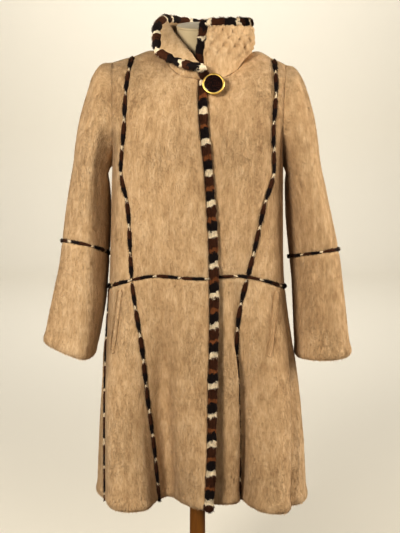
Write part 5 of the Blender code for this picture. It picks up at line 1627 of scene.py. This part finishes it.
@dataclass
class FurCoat:
    """The coat: fronts, back, sleeves, collar, welts and braids."""

    cloth: CoatCloth
    tailor: Tailor
    braids: BraidMaker
    form: str = "form_torso_and_neck"
    seam: BraidSection = BraidSection(0.0047, 0.0026, 0.0006, pinch=0.55, start=0.0565)
    slim: dict[str, float] = field(default_factory=lambda: {"hip": 0.0031, "side": 0.0010, "elbow": 0.0027})
    slim_thick: float = 0.0022
    front: BraidSection = BraidSection(0.0110, 0.0046, -0.0024, pinch=0.08, period=0.0338, around=20,
                                       square=2.8, first=0.86)
    binding: BraidSection = BraidSection(0.0104, 0.0092, -0.0045, pinch=0.2, period=0.024, around=18,
                                         square=2.3)
    welt: BraidSection = BraidSection(0.0064, 0.0034, 0.0, pinch=0.10, period=0.008, around=16, square=2.0)
    welt_thick: tuple[float, float] = (0.0034, 0.0042)  # right and left

    def build(self) -> None:
        """Makes every piece."""
        self.cloth.lay_out()
        for side in Side:
            self.add_front(side)
            self.add_front_trims(side)
            self.add_welt(side)
            self.add_sleeve(side)
        self.add_back()
        self.add_front_edge()
        self.add_collar()

    def add_front(self, side: Side) -> None:
        """The centre and side panels of a front, above and below the hip seam."""
        first, start = (1, BRAIDED) if side == Side.RIGHT else (0, RAW)
        coarse, fine = self.cloth.coarse.princess, self.cloth.fine.princess
        high, low = self.cloth.fronts[side], self.cloth.low_fronts[side]
        panels = (
            ("centre_upper", high, slice(first, coarse + 1), (start, BRAIDED, BRAIDED, SEWN)),
            ("centre_lower", low, slice(first, fine + 1), (start, BRAIDED, RAW, BRAIDED)),
            ("side_upper", high, slice(coarse, None), (BRAIDED, SEWN, BRAIDED, SEWN)),
            ("side_lower", low, slice(fine, None), (BRAIDED, BRAIDED, RAW, BRAIDED)),
        )
        for name, whole, columns, edges in panels:
            self.tailor.cloth(f"{side.word}_front_{name}", whole.part(columns=columns), dict(zip(EDGES, edges)),
                              int(side), [self.form])

    def add_back(self) -> None:
        """The back above and below the hip seam, and its braid."""
        high, low = self.cloth.whole_back(self.cloth.backs), self.cloth.whole_back(self.cloth.low_backs)
        for name, whole, edges in (("back_upper", high, (SEWN, SEWN, BRAIDED, SEWN)),
                                   ("back_lower", low, (BRAIDED, BRAIDED, RAW, BRAIDED))):
            self.tailor.cloth(name, whole, dict(zip(EDGES, edges)), -1, [self.form])
        self.braids.lay("back_hip_braid", high.points[0], high.normals[0], self.thin("hip"),
                        self.tailor.finishes.seam_braid)

    def thin(self, word: str) -> BraidSection:
        """The seam braid where the pile closes over most of it."""
        return replace(self.seam, half_wide=self.slim[word], half_thick=self.slim_thick, pinch=0.3)

    def add_front_trims(self, side: Side) -> None:
        """The braids on a front's princess, hip and side seams."""
        coarse, fine = self.cloth.coarse.princess, self.cloth.fine.princess
        high, low = self.cloth.fronts[side], self.cloth.low_fronts[side]
        first = 1 if side == Side.RIGHT else 0
        lines = {
            "princess_braid_upper": (high.points[1:, coarse], high.normals[1:, coarse]),
            "princess_braid_lower": (low.points[:-1, fine], low.normals[:-1, fine]),
            "hip_braid": (high.points[0, first:], high.normals[0, first:]),
            "side_braid": (low.points[:-1, -1], low.normals[:-1, -1]),
        }
        for name, (line, normals) in lines.items():
            word = name.split("_")[0]
            section = self.thin(word) if word in self.slim else self.seam
            self.braids.lay(f"{side.word}_{name}", line[::-1], normals[::-1], section,
                            self.tailor.finishes.seam_braid)

    def add_front_edge(self) -> None:
        """The broad braid bound round the lapping edge."""
        shape, steps, side = self.cloth.shape, self.cloth.coarse, Side.RIGHT
        low = shape.patch(side, LOW_ROWS, shape.front_braid_columns, steps)
        high = shape.patch(side, HIGH_ROWS, shape.front_braid_columns, steps)
        whole = low.above(high)
        self.braids.lay("front_edge_braid", whole.points[::-1, 1], whole.normals[::-1, 1], self.front,
                        self.tailor.finishes.front_braid)

    def add_welt(self, side: Side) -> None:
        """A pocket's slanted welt, as a padded strip of the fur."""
        (top_height, top_t), (low_height, low_t) = POCKET[side]
        points, normals = [], []
        for part in np.linspace(0, 1, 25):
            height, t = low_height + part * (top_height - low_height), low_t + part * (top_t - low_t)
            points.append(self.cloth.shape.net(side, height, [t])[0])
            normals.append(self.cloth.shape.normals(side, height, np.array([t]))[0])
        thick = self.welt_thick[side > 0]
        section = replace(self.welt, half_thick=thick, out=thick / 3)
        piece = self.braids.lay(f"{side.word}_pocket_welt", np.array(points), np.array(normals), section,
                                self.tailor.finishes.fur)

    def add_sleeve(self, side: Side) -> None:
        """A sleeve's two pieces and the braid between them."""
        sleeve, whole = self.cloth.sleeve, self.cloth.sleeves[side]
        row = sleeve.rings.index(sleeve.elbow) + 1
        parts = {
            "upper": (slice(None, row + 1), {"bottom": SEWN, "top": BRAIDED}),
            "lower": (slice(row, None), {"bottom": BRAIDED, "top": RAW}),
        }
        for word, (rows, edges) in parts.items():
            patch = replace(whole.part(rows), closed=True)
            holder = f"{side.word}_front_side_upper" if word == "upper" else f"{side.word}_sleeve_upper"
            self.tailor.cloth(f"{side.word}_sleeve_{word}", patch, edges, -int(side), [holder], held="hung")
        self.braids.lay(f"{side.word}_elbow_braid", whole.points[row], whole.normals[row],
                        self.thin("elbow"), self.tailor.finishes.seam_braid, closed=True)

    def add_collar(self) -> None:
        """The gathered stand collar and the braid bound round its edges."""
        grid = self.cloth.collar.grid(self.cloth.neckline())
        rows, columns = grid.points.shape[:2]
        sheet = grid.part(slice(0, rows - 2), slice(3, columns - 3))
        gathers = Gathers(columns, self.cloth.collar)
        self.tailor.cloth(
            "collar", sheet, {"bottom": SEWN, "top": BRAIDED, "start": BRAIDED, "end": BRAIDED}, -1,
            ["right_front_centre_upper", "left_front_centre_upper"], wall=COLLAR_WALL, held="gathered",
            inside=self.tailor.finishes.fur, extra=gathers.height, spacing=gathers.spacing,
        )
        line, normals = (
            np.concatenate([values[:-1, 1], values[-2, 2:-2], values[:-1, -2][::-1]])
            for values in (grid.points, grid.normals)
        )
        self.braids.lay("collar_braid", line, normals, self.binding, self.tailor.finishes.collar_braid)


@dataclass(frozen=True)
class Gathers:
    """The collar's rows of drawn-up lumps, in the lattice of the solid's own gathers."""

    columns: int
    collar: CollarShape
    height_out: float = 0.0170
    level: float = 0.55  # the height in a lump that lies on the cloth
    wander: tuple[float, float] = (0.32, 0.45)  # how far the lumps stray, in columns and rows
    wander_size: float = 0.030
    tall: float = 0.80  # how little a lump falls off along the collar's height
    reach: float = 0.88  # how far a lump reaches, in columns
    first_row: int = 1
    last_row: int = 6
    spacing: float = 0.0035

    def height(self, fine: Patch) -> Array:
        """How far the gathers stand out on the refined grid."""
        rows, across = fine.marks[0], fine.marks[1] + 3
        v, u = np.meshgrid(rows, across, indexing="ij")
        u = u + self.wander[0] * lumps(fine.points, self.wander_size, 11)
        v = v + self.wander[1] * lumps(fine.points, self.wander_size, 12)
        near = np.full(u.shape, np.inf)
        for odd in (0, 1):
            row = 2 * np.round((v - odd) / 2) + odd
            column = 2 * np.round((u - 1 + odd) / 2) + 1 - odd
            near = np.minimum(near, np.hypot(u - column, self.tall * (v - row)))
        lump = np.sqrt(1 - np.clip(near / self.reach, 0, 1) ** 2)
        rise = smooth((v - self.first_row + 0.4) / 1.6) * smooth((self.last_row + 0.6 - v) / 0.9)
        fade = smooth((across / self.columns - self.collar.tuck_from) / 0.1)
        return self.height_out * (lump - self.level) * rise * fade[None]


# --- button, form and stand
SHARP = 38.0  # the angle, in degrees, from which an edge stays sharp


def turned(name: str, profile: Sequence[tuple[float, float]], material: Material, place: Point,
           tilt: float, steps: int = 96) -> Piece:
    """A piece turned about its own Z axis.

    Args:
        name: The piece's name.
        profile: Radius and height pairs that start and end on the axis.
        material: Its material.
        place: Where its axis starts.
        tilt: How far it leans to the front, in degrees.
        steps: How many faces round it.

    Returns:
        The piece, with its place in its mesh.
    """
    turns = 2 * math.pi * np.arange(steps) / steps
    profile = np.array(profile)
    inside = profile[1:-1]
    rings = np.stack([
        np.stack([radius * np.cos(turns), radius * np.sin(turns), np.full(steps, z)], axis=1)
        for radius, z in inside
    ])
    points = np.concatenate([rings.reshape(-1, 3), [[0, 0, profile[0, 1]], [0, 0, profile[-1, 1]]]])
    lean = math.radians(tilt)
    turn = np.array([[1, 0, 0], [0, math.cos(lean), -math.sin(lean)], [0, math.sin(lean), math.cos(lean)]])
    points = points @ turn.T + np.array(place)
    faces = grid_faces(len(inside), steps).tolist()
    last = (len(inside) - 1) * steps
    start, end = len(points) - 2, len(points) - 1
    faces += [[start, (step + 1) % steps, step] for step in range(steps)]
    faces += [[end, last + step, last + (step + 1) % steps] for step in range(steps)]
    piece = mesh_object(name, points, faces, (material,))
    piece.data.set_sharp_from_angle(angle=math.radians(SHARP))
    return piece


def arc(centre: tuple[float, float], radius: float, start: float, end: float,
        steps: int) -> list[tuple[float, float]]:
    """Points of a round corner of a profile, between two angles in degrees."""
    return [
        (centre[0] + radius * math.cos(math.radians(angle)), centre[1] + radius * math.sin(math.radians(angle)))
        for angle in np.linspace(start, end, steps)
    ]


@dataclass(frozen=True)
class RoundButton:
    """The round button: a gilt rim on a shank, with a dark glossy centre."""

    finishes: Finishes
    place: Point = (0.0353, -0.1212, 1.3765)
    tilt: float = 70.0
    radius: float = 0.0245
    inside: float = 0.0200
    thick: float = 0.0055
    hollow: float = 0.0020
    lip: float = 0.0012  # the rim's inner rounding, and the centre's rise
    edge: float = 0.0006  # how tall the centre stands at its edge
    shank: tuple[float, float] = (0.004, 0.0150)

    def build(self) -> None:
        """Makes the rim with its shank, and the centre."""
        shank_radius, shank_long = self.shank
        half = self.thick / 2
        floor = self.thick - self.hollow
        rim = [
            (0, -shank_long),
            (shank_radius, -shank_long),
            (shank_radius, 0),
            *arc((self.radius - half, half), half, -90, 90, 12),
            *arc((self.inside + self.lip, self.thick - self.lip), self.lip, 90, 180, 6),
            (self.inside, floor),
            (0, floor),
        ]
        centre = self.inside - SEAM_GAP
        bottom = floor + SEAM_GAP
        dome = [
            (centre * math.cos(angle), bottom + self.edge + self.lip * math.sin(angle))
            for angle in np.radians(np.linspace(0, 84, 12))
        ]
        disc = [(0, bottom), (centre, bottom), *dome, (0, bottom + self.edge + self.lip)]
        dress(turned("button_gilt_rim", rim, self.finishes.gold, self.place, self.tilt),
              "button_rim_and_shank")
        dress(turned("button_glossy_centre", disc, self.finishes.enamel, self.place, self.tilt),
              "button_centre")


@dataclass(frozen=True)
class DressForm:
    """The limbless form under the coat, its neck, pole and base."""

    finishes: Finishes
    nodes: dict[str, Piece]
    neck_middle: tuple[float, float] = (0.004, 0.002)
    neck_radius: float = 0.0515
    neck_top: float = 1.503
    slant: float = 0.20
    cap_thick: float = 0.004
    cap_inset: float = 0.0005
    cap_round: float = 0.002
    sharp: float = 0.9  # the angle from which the form keeps its edges, and how firmly
    pole_radius: float = 0.0185
    pole_top: float = 0.80
    base_radius: float = 0.190
    base_thick: float = 0.022
    base_rounds: tuple[float, float] = (0.004, 0.008)  # its lower and its upper edge

    def build(self) -> None:
        """Makes the form and the stand."""
        self.add_torso()
        self.add_cap()
        self.add_stand()

    def add_torso(self) -> None:
        """The torso and neck: the solid's own form, smoothed."""
        node = self.nodes["form_torso_and_neck"]
        mesh = node.data.copy()
        work = bmesh.new()
        work.from_mesh(mesh)
        bmesh.ops.remove_doubles(work, verts=work.verts, dist=1e-5)
        bmesh.ops.join_triangles(work, faces=work.faces, angle_face_threshold=0.7, angle_shape_threshold=1.2)
        crease = work.edges.layers.float.new("crease_edge")
        for edge in work.edges:
            if edge.is_manifold and edge.calc_face_angle() > self.sharp:
                edge[crease] = self.sharp
        work.to_mesh(mesh)
        work.free()
        mesh.materials.clear()
        mesh.materials.append(self.finishes.canvas)
        piece = placed("form_jersey_cover", mesh)
        smoother = piece.modifiers.new("smooth", "SUBSURF")
        smoother.levels = smoother.render_levels = 2
        bpy.context.view_layer.objects.active = piece
        piece.select_set(True)
        bpy.ops.object.modifier_apply(modifier=smoother.name)
        piece.data.shade_smooth()
        dress(piece, "form_torso_and_neck")

    def add_cap(self) -> None:
        """The slanted cap of the neck."""
        radius, bend = self.neck_radius - self.cap_inset, self.cap_round
        rounding = arc((radius - bend, self.cap_thick - bend), bend, 0, 90, 6)
        profile = [(0, 0), (radius, 0), *rounding, (0, self.cap_thick)]
        place = (*self.neck_middle, self.neck_top + SEAM_GAP)
        tilt = math.degrees(math.atan(self.slant))
        cap = turned("neck_jersey_cap", profile, self.finishes.canvas, place, tilt)
        dress(cap, "neck_cap")

    def add_stand(self) -> None:
        """The pole and the round base."""
        low, high = self.base_thick + SEAM_GAP, self.pole_top - SEAM_GAP
        pole = [(0, low), (self.pole_radius, low), (self.pole_radius, high), (0, high)]
        dress(turned("wooden_pole", pole, self.finishes.pole, (0, 0, 0), 0), "pole")
        edge, (below, above) = self.base_radius, self.base_rounds
        base = [
            (0, 0),
            *arc((edge - below, below), below, -90, 0, 5),
            *arc((edge - above, self.base_thick - above), above, 0, 90, 8),
            (0, self.base_thick),
        ]
        dress(turned("wooden_base", base, self.finishes.base, (0, 0, 0), 0, steps=144), "base")


# --- studio
@dataclass(frozen=True)
class Lamp:
    """A square soft light."""

    name: str
    place: Point
    size: float
    power: float
    aim: Point = (0.0, 0.0, 0.95)
    colour: Colour = (1.0, 0.955, 0.88)


LAMPS = (
    Lamp("key_light", (-1.5, -3.0, 2.2), 0.8, 92.0),
    Lamp("side_light", (3.0, 0.0, 1.8), 1.2, 84.0),
    Lamp("front_fill", (1.2, -3.5, 1.9), 1.0, 26.0),
    Lamp("rim_light", (-2.6, 0.5, 1.7), 1.2, 24.0),
    Lamp("wall_light", (0.0, 3.3, 4.0), 2.6, 118.0, (0.0, 6.6, 1.4), (1.0, 0.985, 0.965)),
)


@dataclass(frozen=True)
class Studio:
    """A dark floor and a pale sweep of paper, soft lights, and the camera at the photograph's place."""

    eye: Point = (0.006, -2.80, 1.40)
    target: Point = (0.006, -0.12, 0.975)
    lens: float = 82.28
    sensor: float = 36.0
    exposure: float = 0.38
    gamma: float = 0.78
    ambient: float = 0.04
    ambient_colour: Colour = (1.0, 0.93, 0.82)
    wall_colour: Colour = (0.86, 0.82, 0.73)
    floor_colour: Colour = (0.10, 0.075, 0.055)
    room: float = 8.0
    paper_from: float = 0.75
    sweep: float = 1.0
    wall_at: float = 6.6
    wall_high: float = 5.0

    def build(self) -> None:
        """Sets the camera, the lights and the room."""
        self.add_camera()
        self.add_room()
        for lamp in LAMPS:
            self.add_light(lamp)
        world = bpy.data.worlds.new("studio_world")
        bpy.context.scene.world = world
        world.use_nodes = True
        background = world.node_tree.nodes["Background"]
        background.inputs["Color"].default_value = (*self.ambient_colour, 1.0)
        background.inputs["Strength"].default_value = self.ambient
        view = bpy.context.scene.view_settings
        view.view_transform = "Standard"
        view.exposure, view.gamma = self.exposure, self.gamma

    def add_camera(self) -> None:
        """The camera."""
        data = bpy.data.cameras.new("camera")
        data.sensor_fit = "VERTICAL"
        data.sensor_height = self.sensor
        data.lens = self.lens
        bpy.context.scene.camera = self.aimed(data, self.eye, self.target)

    def aimed(self, data: bpy.types.ID, place: Point, aim: Point) -> Piece:
        """A camera or light at a place, turned to its aim."""
        thing = placed(data.name, data)
        thing.location = place
        thing.rotation_euler = (Vector(aim) - Vector(place)).to_track_quat("-Z", "Y").to_euler()
        return thing

    def add_room(self) -> None:
        """A dark floor, with pale paper behind the form that sweeps up into a wall."""
        half, radius, bend = self.room, self.sweep, self.wall_at - self.sweep
        line = [(-half, 0.0), (self.paper_from, 0.0), (bend, 0.0)]
        line += [
            (bend + radius * math.sin(angle), radius - radius * math.cos(angle))
            for angle in np.radians(range(9, 91, 9))
        ]
        line.append((self.wall_at, self.wall_high))
        points = np.array([(x, y, z) for y, z in line for x in (-half, half)])
        faces = [[2 * i, 2 * i + 1, 2 * i + 3, 2 * i + 2] for i in range(len(line) - 1)]
        paper, floor = WallFinish("pale_paper", self.wall_colour), WallFinish("dark_floor", self.floor_colour)
        slots = np.array([1] + [0] * (len(faces) - 1))
        mesh_object("studio_room", points, faces, (paper.material(), floor.material()), slots)

    def add_light(self, lamp: Lamp) -> None:
        """A square soft light that faces its aim."""
        data = bpy.data.lights.new(lamp.name, "AREA")
        data.size, data.energy, data.color = lamp.size, lamp.power, lamp.colour
        self.aimed(data, lamp.place, lamp.aim)


def main() -> None:
    """Builds the studio, the coat, the button and the form, in that order."""
    logging.basicConfig(level=logging.INFO, format="%(name)s: %(message)s")
    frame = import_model()
    finishes = Finishes.made()
    Studio().build()
    FurCoat(CoatCloth(), Tailor(finishes, Nap(), CREASES), BraidMaker(TUFTS)).build()
    RoundButton(finishes).build()
    DressForm(finishes, frame["nodes"]).build()


if __name__ == "__main__":
    main()
